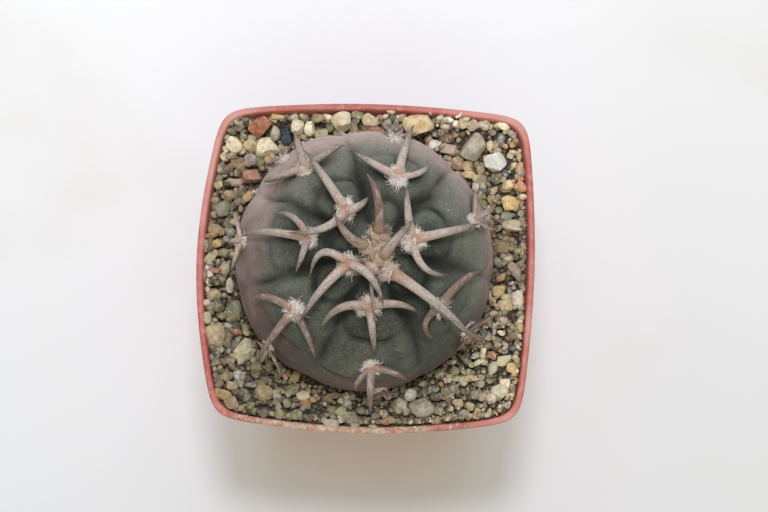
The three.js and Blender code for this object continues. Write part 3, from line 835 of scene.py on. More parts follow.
def addSpine(bm, line, rootRadius, brown, draw):
    layers = strandLayers(bm)
    ball = bmesh.ops.create_uvsphere(bm, u_segments=spray["sides"], v_segments=spray["rings"], radius=1)
    shift = draw.uniform(0, 100)
    length = line.chord.length
    deep, over = spray["rootSink"]
    for vert in ball["verts"]:
        along = ballShare(vert)
        x, y = vert.co.x, vert.co.y
        spread = hypot(x, y)
        centre = line.point(along) - line.out * deep * exp(-along / over)
        vert[layers["along"]] = along
        vert[layers["brown"]] = brown
        if spread < 1e-5:
            vert[layers["own"]] = (shift, 0, along * length)
            vert.co = centre
            continue
        tangent = line.tangent(along)
        side = (line.left - tangent * line.left.dot(tangent)).normalized()
        outwards = (side * x + side.cross(tangent) * y) / spread
        rough = 0.97 + 0.05 * noise.noise(outwards * 1.3 + Vector((0, 0, shift + along * 9)))
        radius = spineRadius(rootRadius, along)
        vert[layers["top"]] = -y / spread
        vert[layers["own"]] = (shift + radius * x / spread, radius * y / spread, along * length)
        vert.co = centre + outwards * radius * rough


def addHair(bm, hair):
    start, end, bow, warmth = hair
    layers = strandLayers(bm)
    strand = bmesh.ops.create_uvsphere(bm, u_segments=3, v_segments=4, radius=1)["verts"]
    chord = end - start
    side = chord.orthogonal().normalized()
    other = side.cross(chord).normalized()
    for vert in strand:
        along = ballShare(vert)
        thick = spray["woolRadius"] * (1 - 0.6 * along)
        across = side * vert.co.x + other * vert.co.y
        vert.co = start + chord * along + bow * (4 * along * (1 - along)) + across * thick
        vert[layers["warm"]] = warmth
        vert[layers["along"]] = along
    for face in {face for vert in strand for face in vert.link_faces}:
        face.material_index = 2


def unit(draw):
    return Vector((draw.gauss(0, 1), draw.gauss(0, 1), draw.gauss(0, 1))).normalized()


def clumping(start, often):  # hairs near each other lean the same way
    return Vector((noise.noise(start * often), noise.noise(start * often + Vector((9, 0, 0))), 0))


def leanOver(bm):  # closed forms, turned outwards and set as the plant leans
    bmesh.ops.recalc_face_normals(bm, faces=bm.faces)
    bmesh.ops.transform(bm, matrix=plantMatrix, verts=bm.verts)


def hornLook(place):
    along, brown, top = (place.attribute(name) for name in ("along", "brown", "top"))
    own = place.attribute("own", "Vector")
    flush = own.stretched(1, 1, 0.3).noise(0.9, 2).fade(0.46, 0.66) * (1 - along.fade(0.2, 0.65))
    dust = own.stretched(1, 1, 0.4).noise(1.7, 4, 0.7).fade(0.46, 0.66) * along.fade(0.08, 0.25)
    streaks = own.stretched(1, 1, 0.5).noise(3.8, 4, 0.75).fade(0.52, 0.6)
    flecks = 1 - own.stretched(1, 1, 0.5).cells(3.7).fade(0.16, 0.34)
    tone = (along + 0.12 * (own.stretched(1, 1, 0.4).noise(0.8, 2) - 0.5)).ramp(*spray["horn"]).tints(
        # the spine's own brown and painted shade
        (spray["hornBrown"], brown * along.fade(0, 0.22) * 0.74),
        (spray["hornFlush"], flush * 0.4),
        (spray["hornDust"], dust * (0.5 - 0.3 * along)),
        (spray["hornStreak"], streaks * (0.34 + 0.3 * along)),
        (spray["hornFleck"], flecks * own.noise(0.9, 2).fade(0.34, 0.54) * 0.8),
        # painted shade on the spines' undersides
        (spray["hornUnderShade"], (1 - top).fade(0.3, 1.2) * 0.68),
    )
    grain = own.stretched(1, 1, 0.3).noise(3, 5, 0.75)
    return surface(tone, 0.62 + 0.2 * grain, grain.bump(0.16, 0.8), Specular_IOR_Level=0.3)


def feltLook(place):
    warm = place.attribute("warm") * place.noise(0.9, 3).fade(0.36, 0.6)
    tone = place.noise(1.6, 4, 0.7).ramp(
        (0.32, spray["feltDark"]), (0.48, spray["felt"]), (0.62, spray["feltPale"]))
    return surface(tone.tints((spray["feltWarm"], warm)), 0.95, place.noise(5, 4, 0.8).bump(0.25))


def woolLook(place):
    warm = place.attribute("warm")
    fromRoot = (1 - place.attribute("along")).fade(0.35, 1)
    yellow = place.noise(0.5, 3).ramp(
        (0.35, spray["woolGold"]), (0.5, spray["woolWarm"]), (0.65, spray["woolStraw"]))
    tone = place.noise(1.5, 2).ramp((0.3, spray["woolShade"]), (0.55, spray["wool"]))
    tone = tone.tints((yellow, warm), (spray["woolRoot"], warm * fromRoot * 0.6))
    # the faint emission is a painted glow that brightens the wool
    return surface(tone, 0.9, place.noise(8, 2).bump(0.02), Emission_Color=paint(spray["wool"]),
                   Emission_Strength=0.11)


hairMaterials = [makeMaterial("spineHorn", hornLook), makeMaterial("areoleFelt", feltLook),
                 makeMaterial("areoleWool", woolLook)]


def makeSpray(rib, place, areole):
    down, turnOff, pad, spines = areole
    draw = random.Random(100 * rib + place + 1)
    turn = plant["ribs"][rib] + turnOff
    out = outward(down, turn)
    brown = spray["brown"].get((rib, place), 0)
    bm = bmesh.new()
    strandLayers(bm)
    stand = Matrix.Translation(bodyPoint(down, turn)) @ out.to_track_quat("Z", "Y").to_matrix().to_4x4()

    for vert in bmesh.ops.create_icosphere(bm, subdivisions=4, radius=1)["verts"]:
        lump = 1 + spray["padLump"] * noise.noise(vert.co * 2.2 + Vector((rib * 7, place * 5, 0)))
        flat = Vector((vert.co.x * pad, vert.co.y * pad, vert.co.z * pad * spray["padHeight"])) * lump
        vert.co = stand @ flat
    for face in bm.faces:
        face.material_index = 1

    for line, rootRadius in spineLines(rib, areole):
        addSpine(bm, line, rootRadius, brown, draw)

    warmth = 0.75 * (1 - smoothStep(down, 6, 16)) + (0.25 if (rib, place) == (5, 1) else 0)
    count = spray["woolPerPad"] * pad * pad * spray["woolly"].get((rib, place), 1)
    count *= 1 - 0.7 * smoothStep(down, 58, 84)
    hairs = []
    for i in range(int(count)):
        around = draw.uniform(0, 2 * pi)
        outer = sqrt(draw.uniform(0.12, 1))
        flat = Vector((cos(around), sin(around), 0))
        onPad = flat * outer + Vector((0, 0, spray["padHeight"] * sqrt(1 - outer * outer)))
        start = stand @ (onPad * pad * 0.92)
        if noise.noise(start * 0.8 + Vector((rib * 3, place, 0))) < -0.12:
            continue
        aim = stand.to_3x3() @ (flat * (0.3 + outer) + Vector((0, 0, 0.9 - 0.6 * outer)))
        length = draw.uniform(*spray["woolLength"]) * (0.6 + 0.2 * pad) * draw.choice((1, 1, 1, 1, 1, 1.5))
        aim = (aim.normalized() + clumping(start, 1.6) * 2.2 + unit(draw) * 0.35).normalized()
        bow = unit(draw) * length * 0.42
        hairs.append((start, start + aim * length, bow, min(1, warmth * draw.uniform(0.5, 1.3))))
    addInBatches(bm, hairs, addHair)
    leanOver(bm)
    for vert in bm.verts:
        vert.co.z = min(vert.co.z, spray["highest"])
    name = f"rib{rib + 1}_{place + 1}"
    finishPiece(bm, f"areole_{name}", hairMaterials, [f"spines_{name}"])


for rib, onRib in enumerate(areoles):
    for place, areole in enumerate(onRib):
        makeSpray(rib, place, areole)
print("areoles made")

# Young wool over the growing point

crownWool = {
    "hairs": 2600,
    "middle": (0.4, -0.6),
    "spread": (2.9, 5.9),
    "length": (0.6, 1.5),
    "feltHeight": 1.3,
    "feltLumps": ((0.12, 2.4), (0.05, 8)),
    "rounding": 0.018,  # the crown falls off so fast from its middle
}


def crownLevel(x, y, below):
    return plant["crown"] - crownWool["rounding"] * (x * x + y * y) - below


def makeCrownWool():
    draw = random.Random(5)
    bm = bmesh.new()
    layers = strandLayers(bm)
    for vert in bmesh.ops.create_icosphere(bm, subdivisions=5, radius=1)["verts"]:
        lump = 1 + uneven(crownWool["feltLumps"], vert.co)
        x, y = (m + s * c * lump for m, s, c in zip(crownWool["middle"], crownWool["spread"], vert.co))
        vert.co = (x, y, crownLevel(x, y, 1) + crownWool["feltHeight"] * vert.co.z * lump)
        vert[layers["warm"]] = 0.85
    for face in bm.faces:
        face.material_index = 1
    hairs = []
    for i in range(crownWool["hairs"]):
        around, share = draw.uniform(0, 2 * pi), sqrt(draw.random())
        x, y = (m + s * share * c for m, s, c in zip(crownWool["middle"], crownWool["spread"],
                                                     (cos(around), sin(around))))
        level = crownLevel(x, y, 0.2)
        start = Vector((x, y, level))
        length = draw.uniform(*crownWool["length"])
        aim = (Vector((x * 0.12, y * 0.12, 1)) + clumping(start, 0.9) * 1.6 + unit(draw) * 0.6).normalized()
        end = start + aim * length
        end.z = max(end.z, level + 0.1)
        hairs.append((start, end, unit(draw) * length * 0.35, draw.choice((0.25, 0.8, 1))))
    addInBatches(bm, hairs, addHair)
    leanOver(bm)
    finishPiece(bm, "crown_wool", hairMaterials)


makeCrownWool()
print("crown wool made")

# Gravel

gravel = {
    "seed": 11,
    "clearance": 0.3,
    "wallGap": 0.08,
    "belowRim": 3,
    "slope": 0.025,
    "bedDrop": 0.6,  # the grit between the grains lies this far under the usual level
    "bedRipple": ((0.45, 0.8), (0.3, 2.1)),
    "bedRings": 60,
    "bedSteps": 160,
    "hollowRings": 40,
    "hollowSteps": 72,
    "hollowSink": 0.9,
    "fillTop": 1.5,  # the loose grains reach this far over it
    "wallRise": 1.1,  # the gravel is banked up against the pot's wall, more at the back
    "wallReach": 5,
    "backRise": 0.8,
    "backReach": (18, 32),
    "edgeLevel": 62.4,
    "markedLevel": 62.6,  # the photo's marks are read at this height
    "markedTop": (1.35, 0.45),  # the marked ones reach so far, and further with their size
    "overRim": 0.4,
    # painted shade by the body's front edge, and in patches (x, y, reach, share) where the stones lie in
    # shadow
    "bodyEdgeShade": 0.45,
    "shadePatches": ((31, 4, 10, 0.36), (-26, -27, 12, 0.24), (-6, -30, 9, 0.12)),
    "cell": 0.4,
    "half": 36,
    "dropHalf": 34,
    "wallBand": (0.7, 1.2),
    "innerLimit": 26.1,
    "plantSpot": (-0.8, 0.9),  # the body's middle at the gravel's level
    # how many grains of each kind are tried, and their sizes; the banked ones lie along the wall
    "kinds": (("banked", 1100, (0.6, 1.3)), ("coarse", 1500, (1.1, 1.7)), ("middling", 3600, (0.6, 1.1)),
              ("fine", 2200, (0.32, 0.6))),
    "blocky": 0.65,  # this share of them is broken rock, and the rest is worn round
    "sharpFrom": 38,
    "colours": ("#bfa880", "#dccfae", "#c3a268", "#857d5c", "#8b8c77", "#847e77", "#786350", "#5c4a3d",
                "#37332f", "#5a626a", "#a5674f", "#b87c4c", "#e0dcd2", "#ad9587", "#b7b28a", "#aea799",
                "#d2c2b4", "#a08766", "#8a8085", "#6f6659"),
    "shares": (14, 5, 5, 14, 10, 10, 9, 6, 2, 1.5, 2, 1.5, 1.5, 7, 5, 5, 2, 10, 3, 10),
    "veins": ((0.3, "#6d6a52"), (0.42, "#a99f78"), (0.5, "#c9b58c"), (0.58, "#a5836a"), (0.7, "#dcd3bd")),
    "crystalPale": "#ddd3b6",
    "crystalDark": "#5f5544",
    "saturation": 0.92,
    "speck": "#54483c",
    "moss": "#7d7c4c",
    "grit": ((0, "#77695a"), (0.2, "#958871"), (0.38, "#ab9d80"), (0.5, "#857e68"), (0.64, "#978b80"),
             (0.78, "#b8a582"), (0.9, "#665c50")),
    "gritGapShade": "#2f2820",
    "gritSpeck": "#4a4034",
}

# Grains that stand out in their places, listed: column and row of the middle in the photo, number of
# the colour and length in millimetres, then the width where it is another, and the turn where there is one
marked = (
    (239, 124, 8, 3.9, 2.7, 30), (234, 144, 1, 4, 3.3, -25), (266, 147, 1, 5.2, 4),
    (275, 132, 15, 2.2, 3.1), (250.5, 158.5, 18, 2.6), (278, 162, 9, 3.3), (277, 117, 2, 3.2, 1.4),
    (297, 126, 1, 3.2, 3.6), (310, 128, 1, 2.4, 3.2), (318, 118, 17, 3, 2), (322, 133, 14, 3),
    (250, 144, 0, 2.6, 2.4), (240, 166, 17, 2.6, 2.4), (236, 181, 13, 4, 2), (232, 156, 6, 3, 1.7),
    (225, 170, 7, 2.2), (218, 185, 14, 2.2, 1.9, 40), (227, 184, 8, 1.4), (229, 195, 17, 2.8, 2),
    (248, 195, 2, 2.6, 2, 30), (221, 209.5, 4, 4, 3.2, 20), (357, 116, 3, 2.5, 2), (370, 121, 0, 3.2),
    (373, 131, 10, 4, 1.8), (391, 113, 14, 2, 1.2), (387.2, 122, 4, 2), (395, 128, 9, 2.2, 2),
    (430, 113, 15, 1.4), (413, 141, 11, 1.2, 1.6), (341, 135, 15, 2.4, 1.2), (403, 118, 17, 1.8, 2.2),
    (440, 118, 15, 1.6, 1.2, 20), (450, 120, 12, 1.8, 1.2, -20), (457, 125, 15, 1.6, 1.2, 10),
    (448, 113, 12, 1.6, 1.1), (445, 127, 13, 1.8, 1.4), (439.2, 132, 8, 2, 1.8), (435, 143.5, 12, 2.5, 2.3),
    (473, 125, 13, 2.4, 2.2), (485, 125, 15, 2), (502, 127, 1, 3, 1.4, -20), (501, 139, 9, 2, 3.2),
    (490, 145, 0, 1.3, 2.2), (449, 149, 13, 3.5, 3), (458, 162, 17, 3, 2.8), (477, 163, 6, 1.5),
    (505, 146, 11, 1.2), (513, 144, 11, 1.5), (512, 156, 15, 1.2), (519, 157.2, 14, 1.2, 2.4),
    (520, 168, 17, 2, 2.6), (506, 172, 9, 1.6), (469, 174, 2, 2.4, 1.6), (475, 177, 14, 1.5),
    (476, 186, 16, 1.9), (483, 186, 15, 1.4), (521, 187, 11, 2.4, 2), (510, 203, 2, 4.5, 3.4),
    (523, 197, 1, 1.4), (514, 226, 1, 5, 2.6, -5), (507, 216, 4, 2.5, 2.2), (487, 217, 10, 2, 2.4),
    (513, 240, 11, 1.4, 1.2), (501, 246, 17, 3.8, 4.2), (518, 251, 14, 1.4), (498, 262, 15, 1.8, 2.4),
    (515, 272, 13, 4, 2, -56), (502, 277, 11, 2.6, 1.5, 25), (512, 283, 12, 1), (499, 291, 2, 3.2),
    (506, 297, 14, 2, 1.6), (506, 305, 0, 3, 2.8), (517, 300, 16, 2.6, 3.4), (497, 306, 13, 1.3),
    (494, 314, 13, 1.8, 1.2), (503, 321, 13, 2, 1.9), (520, 328, 2, 1.8, 2), (513, 328, 3, 1.6, 1.8),
    (494, 332, 15, 0.8, 1.4), (502, 333, 1, 1.6, 1, -30), (514, 337, 6, 2.2, 1.6), (506, 346, 15, 1.2, 1.6),
    (513, 349, 9, 1.8, 1), (483, 353.2, 1, 1.6, 2.4, -20), (492, 355, 10, 2), (478, 363, 14, 2.2, 1.2, 30),
    (503, 361, 14, 3.4, 2.4, 35), (511, 368, 2, 2.2, 2), (493, 368, 15, 1.8, 3, -15),
    (504, 383, 1, 2.4, 2.6), (492, 398, 16, 2.2), (453, 362, 12, 1.4, 1.2), (455, 371, 3, 1.8),
    (456, 379, 14, 1.6, 1.2), (470, 379, 0, 3.4, 1.4), (481, 384, 13, 1.8, 1.4), (441, 384, 11, 1.2),
    (449, 390, 19, 4, 3), (459, 403, 0, 1.9, 1.8), (451, 409, 13, 1.3, 1.5), (475, 395, 5, 2),
    (471, 407, 17, 2, 1.8), (478, 411, 2, 1.4, 1.2), (487, 345, 6, 2, 1.6), (484, 333, 9, 2, 1.6),
    (497, 345, 17, 1.6, 1.2), (515, 358, 0, 1.8, 1.4), (508, 405, 4, 2, 1.4, 45), (464, 414, 4, 2.2, 1.4),
    (442, 405, 19, 2, 1.4), (335, 396, 6, 2.4, 1.4), (341, 401, 14, 1.7, 1.5), (325, 404, 12, 0.9),
    (341, 412, 14, 2.4, 1.8), (349, 418, 5, 3.8, 2.6), (355, 426, 14, 1.6, 1.2),
    (330, 423, 16, 3.6, 1.8, -10), (332, 411, 17, 2), (361, 411, 3, 2, 1.6), (385, 415, 13, 1.4, 2),
    (375, 417, 5, 2, 1.6), (401, 403, 16, 3.2, 2.9), (410, 395, 12, 2.4, 2.2, 30),
    (422, 408, 15, 4.6, 3.6, -5), (437, 410, 3, 1.2, 2), (423, 384, 3, 2.2, 1.6), (430, 390, 5, 1.2, 1.8),
    (435, 397, 19, 2), (366, 400, 6, 1.4, 2), (390, 420, 17, 2, 1.4), (373, 427, 0, 2, 0.9),
    (208, 318, 14, 1.8, 2.6), (215, 337, 0, 4.4, 5.2), (228, 338, 6, 1.5, 4.6), (228, 326, 15, 1.8, 1.4),
    (238, 332, 10, 2.3, 1.4), (246, 332, 1, 1.6, 1.4), (243, 351, 1, 4, 5.4, -45), (254, 345, 6, 1.8, 2),
    (228, 360, 3, 1.7), (216, 363, 4, 2.5, 2), (215, 369, 12, 1), (232, 367, 3, 1.8),
    (227, 376, 17, 2.6, 2.2), (242.2, 376, 15, 1.9, 2), (232, 386, 0, 3, 2), (250, 385, 18, 2.6, 1.4),
    (222, 394, 2, 4, 2.4, -15), (232, 403, 17, 3.2, 2.6), (247, 398, 4, 1.9, 1.6, 40), (250, 406, 3, 2.2),
    (264, 393, 0, 3.6, 3), (262, 384, 11, 1.5), (257, 367, 3, 2.6, 2), (270, 366, 6, 2, 3),
    (284, 375, 10, 1.2), (295, 377, 2, 2.4, 2, 50), (303, 395.5, 1, 2.4, 1.9), (278, 407, 15, 1.3, 2),
    (287, 403, 4, 1.9), (296, 415, 3, 2.6, 1.9), (241, 208, 17, 1.2, 1.8), (233, 221, 0, 1.4),
    (238, 219, 13, 1.2, 1.6), (217, 230, 17, 3.4, 2.4, -10), (211, 236, 11, 2.4, 1.1, 10), (230, 232, 5, 2),
    (226, 238, 18, 1.6), (217, 244, 2, 1.9), (206, 246, 4, 1.3, 2.6), (224, 253, 3, 2.6, 1.8),
    (233, 254, 0, 1.6, 1), (210, 259, 14, 2.4, 1.7, 50), (218, 262, 0, 1, 1.4), (224, 269, 14, 2.2, 3, -10),
    (214, 271, 10, 3, 1.2), (205.2, 277, 3, 1, 3), (215, 282, 8, 2.4, 2), (230, 285, 1, 1.7, 3),
    (208, 290, 16, 1.2, 1.4), (214, 294, 0, 2.6, 2, -20), (206, 303, 16, 1.8, 1.4), (224, 295, 18, 1.2),
    (218, 306, 19, 2.4, 2.6), (234, 308, 4, 3, 3.4, 15), (222, 316, 3, 1.6, 1.4),
)

# Small ones between the stones at the back right: x, y, colour, half the length, half the width and turn
tucked = (
    (15.8, 32.6, 14, 0.7, 0.5, 20), (17.7, 32.7, 12, 0.6, 0.7, 0), (19.6, 32.2, 1, 0.9, 0.5, 40),
    (16.8, 31.3, 14, 0.7, 0.6, 10), (18.7, 30.6, 12, 0.8, 0.5, 70), (21, 31.5, 14, 0.7, 0.6, 0),
    (15.2, 31.5, 12, 0.5, 0.6, 0), (21.9, 29.8, 14, 0.6, 0.5, 30),
)

# Larger stones: place, half sizes, turn, and the middle, light and dark colour
bigStones = (
    ("stone_gold", (10.9, 30, 64.3), (3.1, 2.6, 3.2), 15, "#e3c899", "#f3e6c6", "#c29a62"),
    ("stone_white", (27, 22.1, 62.8), (2.3, 2.3, 1.9), 10, "#eeeae1", "#faf8f3", "#d3cdc1"),
    ("stone_slab", (22.3, 25.3, 62.2), (3.5, 2.6, 1.5), 50, "#b8ac97", "#cdc3b1", "#968b79"),
    ("stone_brick_corner", (-22, 29.9, 62.4), (2.9, 1.8, 1.8), 38, "#b4765a", "#d3a284", "#8f553d"),
    ("stone_brick_side", (-24, 19.5, 62.4), (2.7, 1.7, 1.6), 5, "#ae8268", "#c9a38c", "#875e4b"),
    ("stone_slate", (-16.6, 28.3, 62.2), (1.15, 2.6, 1.6), 5, "#4a515a", "#666e78", "#32373e"),
    ("stone_cream_back", (-4.9, 31, 62.8), (2.3, 1.9, 1.9), 15, "#e6d8b6", "#f4ecd6", "#c8af80"),
    ("stone_cream_front", (27.4, -25.9, 62.8), (1.9, 1.6, 1.7), 30, "#d8cdae", "#ece6d4", "#b3a580"),
)
slabs = ("stone_slab", "stone_brick_side")  # their faces are nearer to square

wallInset = pot["collarStep"] + pot["wall"] + gravel["wallGap"]


def wallReaches():  # compass directions, and the distance of the pot's inner wall in each
    level = gravel["edgeLevel"]
    spots = [squareUp(polar(turn, halfWidth(level) - wallInset, level)) for turn in range(0, 360, 2)]
    return zip(*sorted((degrees(atan2(spot.y, spot.x)) % 360, hypot(spot.x, spot.y)) for spot in spots))


wallTurns, wallDistances = wallReaches()


def wallAt(turn):
    return np.interp(turn, wallTurns, wallDistances, period=360)


def roomAt(x, y):  # distance to the pot's wall
    return wallAt(degrees(atan2(y, x)) % 360) - hypot(x, y)


def soilTop(x, y):
    banked = gravel["wallRise"] * (1 - smoothStep(roomAt(x, y), 0, gravel["wallReach"]))
    banked += gravel["backRise"] * smoothStep(y, *gravel["backReach"])
    return pot["height"] - gravel["belowRim"] - gravel["slope"] * y + banked


class Ground:
    # The height of the gravel on a grid, which rises as grains come to rest

    def __init__(self):
        steps = np.arange(-gravel["half"], gravel["half"], gravel["cell"])
        self.x, self.y = np.meshgrid(steps, steps)
        self.height = np.vectorize(soilTop)(self.x, self.y) - gravel["bedDrop"]
        self.covered = np.zeros(self.height.shape, bool)

    def cellAt(self, x, y):
        return tuple(int((c + gravel["half"]) / gravel["cell"]) for c in (y, x))

    def patch(self, x, y, reach):
        low, high = self.cellAt(x - reach, y - reach), self.cellAt(x + reach, y + reach)
        return tuple(slice(max(0, first), last + 2) for first, last in zip(low, high))

    def cover(self, x, y, reach):
        cells = self.patch(x, y, reach)
        self.covered[cells] |= (self.x[cells] - x) ** 2 + (self.y[cells] - y) ** 2 < reach * reach

    def rest(self, x, y, reach):
        under = self.height[self.patch(x, y, reach * 0.75)]
        return 0.55 * float(under.max()) + 0.45 * float(under.mean())

    def layOn(self, x, y, z, reach, tall):
        cells = self.patch(x, y, reach)
        away = ((self.x[cells] - x) ** 2 + (self.y[cells] - y) ** 2) / (reach * reach)
        top = z + tall * np.sqrt(np.clip(1 - away, 0, 1))
        self.height[cells] = np.where(away < 1, np.maximum(self.height[cells], top), self.height[cells])


def cutFaces(point, cuts):  # knocks flat faces on a unit ball
    for across, distance in cuts:
        over = point.dot(across) - distance
        if over > 0:
            point = point - across * over
    return point


def drawCuts(draw, blocky, tilt=0.5):  # planes that chip a unit ball into a rough block or a worn pebble
    cuts = []
    for axis in ((1, 0, 0), (-1, 0, 0), (0, 1, 0), (0, -1, 0), (0, 0, 1), (0, 0, -1)):
        across = (Vector(axis) + unit(draw) * (tilt if blocky else 0.8)).normalized()
        cuts.append((across, draw.uniform(0.52, 0.8) if blocky else draw.uniform(0.68, 0.92)))
    return cuts + [(unit(draw), draw.uniform(0.62, 0.9)) for i in range(5)]


def fromPlant(x, y):
    return hypot(x - gravel["plantSpot"][0], y - gravel["plantSpot"][1])


def lit(x, y):  # paler towards the back (painted light) and towards the right; painted shade by the body's front edge and in patches
    shadeShare = gravel["bodyEdgeShade"] * (1 - smoothStep(fromPlant(x, y), 26, 30)) * (1 - smoothStep(y, -12, 4))
    for spotX, spotY, reach, share in gravel["shadePatches"]:
        shadeShare = max(shadeShare, share * (1 - smoothStep(hypot(x - spotX, y - spotY), reach / 2, reach)))
    return (1.05 + 0.3 * smoothStep(y, 12, 32) + 0.25 * smoothStep(x, 10, 26)) * (1 - shadeShare)


def onGravel(column, row):  # what a pixel of the photo shows at the gravel's height
    x, y, z = view["place"]
    tilt, focal = radians(view["tilt"]), 768 * view["lens"] / view["sensor"]
    right, up = (column - 384) / focal, (256 - row) / focal
    far = (gravel["markedLevel"] - z) / (up * sin(tilt) - cos(tilt))
    return x + right * far, y + (up * cos(tilt) + sin(tilt)) * far


def markedGrain(column, row, colour, long, wide=None, turn=0):  # a mark like a row of tucked
    wide = wide or long
    x, y = onGravel(column, row)
    away = fromPlant(x, y)
    short = gravel["innerLimit"] + 0.45 * min(long, wide) - away
    if short > 0:  # beside the body, not under it
        x += (x - gravel["plantSpot"][0]) / away * short
        y += (y - gravel["plantSpot"][1]) / away * short
    return round(x, 1), round(y, 1), colour, long / 2, wide / 2, turn


def dropGrains():
    draw = random.Random(gravel["seed"])
    ground = Ground()
    grains = []
    for name, (x, y, z), half, *others in bigStones:
        ground.cover(x, y, (half[0] + half[1]) / 2 + 0.4)
    low, more = gravel["markedTop"]
    for x, y, colour, long, wide, turn in (*(markedGrain(*mark) for mark in marked), *tucked):
        size = (long + wide) / 2
        tall = 0.8 * min(long, wide) + 0.1
        top = soilTop(x, y) + low + more * size + draw.uniform(-0.3, 0.3)
        z = min(top, pot["height"] + gravel["overRim"]) - tall
        ground.cover(x, y, size * 0.85)
        grains.append((x, y, z, (long, wide, tall), turn, 0.12, colour, draw.uniform(1, 1.15) * lit(x, y)))
    for kind, count, sizes in gravel["kinds"]:
        for i in range(count):
            x, y = (draw.uniform(-gravel["dropHalf"], gravel["dropHalf"]) for axis in "xy")
            if kind == "banked":
                turn = draw.uniform(0, 360)
                spot = heading(turn) * (wallAt(turn) - draw.uniform(*gravel["wallBand"]))
                x, y = spot.x, spot.y
            sandy = smoothStep(x - y, 18, 44)  # the front right is finer
            size = lerp(*sizes, draw.random() ** 1.3) * (1 - 0.35 * sandy)
            squash, flat = draw.uniform(0.7, 1), draw.uniform(0.6, 0.9)
            colour = draw.choices(range(len(gravel["colours"])), gravel["shares"])[0]
            turn, tilt, shade = draw.uniform(0, 360), draw.gauss(0, 0.35), draw.uniform(0.8, 1.2) * lit(x, y)
            underBody = fromPlant(x, y) <= gravel["innerLimit"] + 0.85 * size
            if underBody or roomAt(x, y) < size * 0.85 or ground.covered[ground.cellAt(x, y)]:
                continue
            tall = size * flat
            z = ground.rest(x, y, size) + tall * 0.45
            if z + tall > soilTop(x, y) + gravel["fillTop"]:
                continue
            ground.layOn(x, y, z, size * (1 + squash) / 2, tall)
            grains.append((x, y, z, (size, size * squash, tall), turn, tilt, colour, shade))
    return grains


def stoneMatrix(spot, half, turn, tilt, swell):  # from a unit ball, swollen to make up for what is cut off
    turned = Matrix.Translation(spot) @ Matrix.Rotation(radians(turn), 4, "Z") @ Matrix.Rotation(tilt, 4, "X")
    return turned @ Matrix.Diagonal((*half, 1)) @ Matrix.Scale(swell, 4)


def addGrain(bm, grain):
    x, y, z, half, turn, tilt, colour, shade = grain
    draw = random.Random(int(x * 1000) * 7919 + int(y * 1000))
    layers = valueLayers(bm, "tint", "shade")
    fineness = 3 if half[0] > 1.15 else 2 if half[0] > 0.62 else 1
    ball = bmesh.ops.create_icosphere(bm, subdivisions=fineness, radius=1)
    cuts = drawCuts(draw, draw.random() < gravel["blocky"])
    matrix = stoneMatrix((x, y, z), half, turn, tilt, 1.2)
    spin = Matrix.Rotation(draw.uniform(-0.5, 0.5), 3, "Z")
    own = Vector((x * 3, y * 3, 0))
    for vert in ball["verts"]:
        rough = 1 + 0.09 * noise.noise(vert.co * 1.4 + own)
        vert.co = matrix @ (cutFaces(spin @ vert.co, cuts) * rough)
        vert[layers["tint"]] = (colour + 0.5) / len(gravel["colours"])
        vert[layers["shade"]] = shade


def gravelLook(place):
    colours = gravel["colours"]
    stops = [(i / len(colours), colour) for i, colour in enumerate(colours)]
    veins = place.noise(0.55, 3, 0.6).ramp(*gravel["veins"])
    crystals = place.cells(1.5, "Color")
    tone = place.attribute("tint").ramp(*stops, kind="CONSTANT").tints(
        (veins, place.noise(0.9, 4, 0.7).fade(0.44, 0.62) * 0.5),
        (gravel["crystalPale"], crystals.part("X").fade(0.62, 0.95) * 0.3),
        (gravel["crystalDark"], crystals.part("Y").fade(0.62, 0.95) * 0.35),
    )
    shade = place.attribute("shade") * (0.72 + 0.56 * place.noise(0.8, 4, 0.65))
    tone = tone.node("ShaderNodeHueSaturation", None,
                     {"Color": tone, "Value": shade, "Saturation": gravel["saturation"]})
    tone = tone.tints((gravel["speck"], place.noise(3.2, 3, 0.7).fade(0.56, 0.7) * 0.4),
                      (gravel["moss"], place.noise(0.3, 3).fade(0.5, 0.66) * 0.25))
    grain = place.noise(1.6, 6, 0.75) + place.cells(1.6) * 0.3
    return surface(tone, 0.85, grain.bump(0.3, 0.8), Specular_IOR_Level=0.25)


def gritLook(place):  # the fine grit that the grains lie in
    away = place.cells(1.3)
    tone = place.cells(1.3, "Color").part("X").ramp(*gravel["grit"], kind="CONSTANT").tints(
        # painted shade in the gaps between the grit's grains
        (gravel["gritGapShade"], away.fade(0.34, 0.66) * 0.7),
        (gravel["gritSpeck"], place.cells(3.4).fade(0.3, 0.6) * 0.4),
    )
    grain = 1 - away * 1.4 + (1 - place.cells(3.4)) * 0.35
    return surface(tone, 0.9, grain.bump(0.5), Specular_IOR_Level=0.2)


gravelMaterials = [makeMaterial("mixedGravel", gravelLook), makeMaterial("fineGrit", gritLook)]


def makeHollow():  # the plain hollow for the body and its root
    points = []
    for i in range(gravel["hollowRings"] + 1):
        down = 180 * i / gravel["hollowRings"]
        radius, height, normal = bodyProfile(down)
        room = gravel["clearance"] + plant["chinHeight"] * (1 - smoothStep(down, 100, 120))
        points.append((0 if down in (0, 180) else radius + room,
                       height - gravel["hollowSink"] * smoothStep(down, 90, 180)))
    bm = lathe(points, gravel["hollowSteps"])
    leanOver(bm)
    return bm


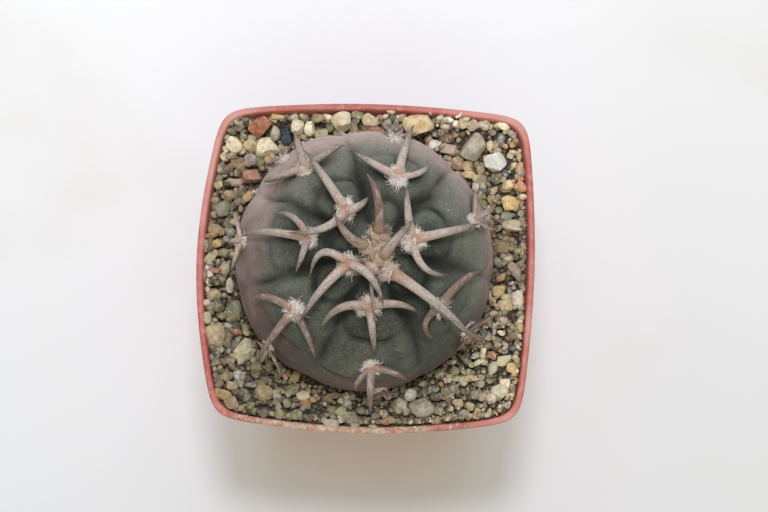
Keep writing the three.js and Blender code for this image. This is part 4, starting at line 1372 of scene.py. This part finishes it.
def makeBed():  # the substrate under the grains, down to the pot's floor
    low, level, rings = pot["floor"] + gravel["clearance"], gravel["edgeLevel"], gravel["bedRings"]
    width = halfWidth(level) - wallInset
    profile = [(None, low), (wallInset + pot["baseRound"], low), (wallInset, low + pot["baseRound"])]
    profile += [(wallInset + i * width / rings, level) for i in range(rings)] + [(None, level)]
    bm = squareLathe(profile, gravel["bedSteps"])
    for vert in bm.verts:
        if vert.co.z > level - 0.01:
            ripple = uneven(gravel["bedRipple"], vert.co)
            vert.co.z = soilTop(vert.co.x, vert.co.y) - gravel["bedDrop"] + ripple
    bm = cutAway(bm, makeHollow())
    for face in bm.faces:
        face.material_index = 1
    return bm


def makeGravel():
    grains = dropGrains()
    print("grains laid:", len(grains))
    whole = makeBed()
    valueLayers(whole, "tint", "shade")
    addInBatches(whole, grains, addGrain)
    finishPiece(whole, "gravel", gravelMaterials, ["soil"], gravel["sharpFrom"])


makeGravel()


def stoneLook(place, middle, light, dark):
    tone = place.noise(0.6, 5, 0.7).ramp((0.32, dark), (0.5, middle), (0.66, light))
    tone = tone.tints((dark, place.noise(2.4, 3, 0.7).fade(0.56, 0.7) * 0.5))
    grain = place.noise(1.3, 6, 0.7) + place.cells(1.1) * 0.25
    return surface(tone, 0.8, grain.bump(0.3, 0.8), Specular_IOR_Level=0.3)


def makeBigStone(index, name, spot, half, turn, *colours):
    material = makeMaterial(name, lambda place: stoneLook(place, *colours))
    cuts = drawCuts(random.Random(40 + index), True, 0.25 if name in slabs else 0.5)
    matrix = stoneMatrix(spot, half, turn, 0, 1.16)
    bm = bmesh.new()
    bmesh.ops.create_icosphere(bm, subdivisions=5, radius=1)
    for vert in bm.verts:
        rough = 1 + 0.05 * noise.noise(vert.co * 1.6 + Vector((index, 0, 0)))
        rough += 0.02 * noise.noise(vert.co * 6)
        vert.co = matrix @ (cutFaces(vert.co.copy(), cuts) * rough)
    for i in range(4):
        bmesh.ops.smooth_vert(bm, verts=bm.verts, factor=0.5, use_axis_x=True, use_axis_y=True,
                              use_axis_z=True)
    finishPiece(bm, f"{name}_worn", [material], [name])


for index, stone in enumerate(bigStones):
    makeBigStone(index, *stone)
print("gravel made")

# Sand that has been spilt on the rim

rimSand = {
    "seed": 21,
    "grains": 150,
    "size": (0.1, 0.3),
    "stretch": (-20, 13),  # from x to x, along the front
    "inset": (0.36, 1.2),
    "colours": (0, 1, 3, 12, 14),
    "shares": (5, 4, 2, 3, 3),
}


def makeRimSand():
    draw = random.Random(rimSand["seed"])
    bm = bmesh.new()
    top = pot["height"]
    half = halfWidth(top)
    for i in range(rimSand["grains"]):
        front = Vector((draw.uniform(*rimSand["stretch"]), -half, 0))
        reach = half - draw.uniform(*rimSand["inset"])
        spot = squareUp(polar(degrees(atan2(front.y, front.x)), reach, top))
        size = draw.uniform(*rimSand["size"])
        colour = draw.choices(rimSand["colours"], rimSand["shares"])[0]
        halves = (size, size * 0.8, size * 0.7)
        addGrain(bm, (spot.x, spot.y, top + size * 0.35, halves, draw.uniform(0, 360), 0, colour,
                      draw.uniform(0.95, 1.15)))
    finishPiece(bm, "rim_sand", gravelMaterials, sharpFrom=gravel["sharpFrom"])


makeRimSand()
print("rim sand made")
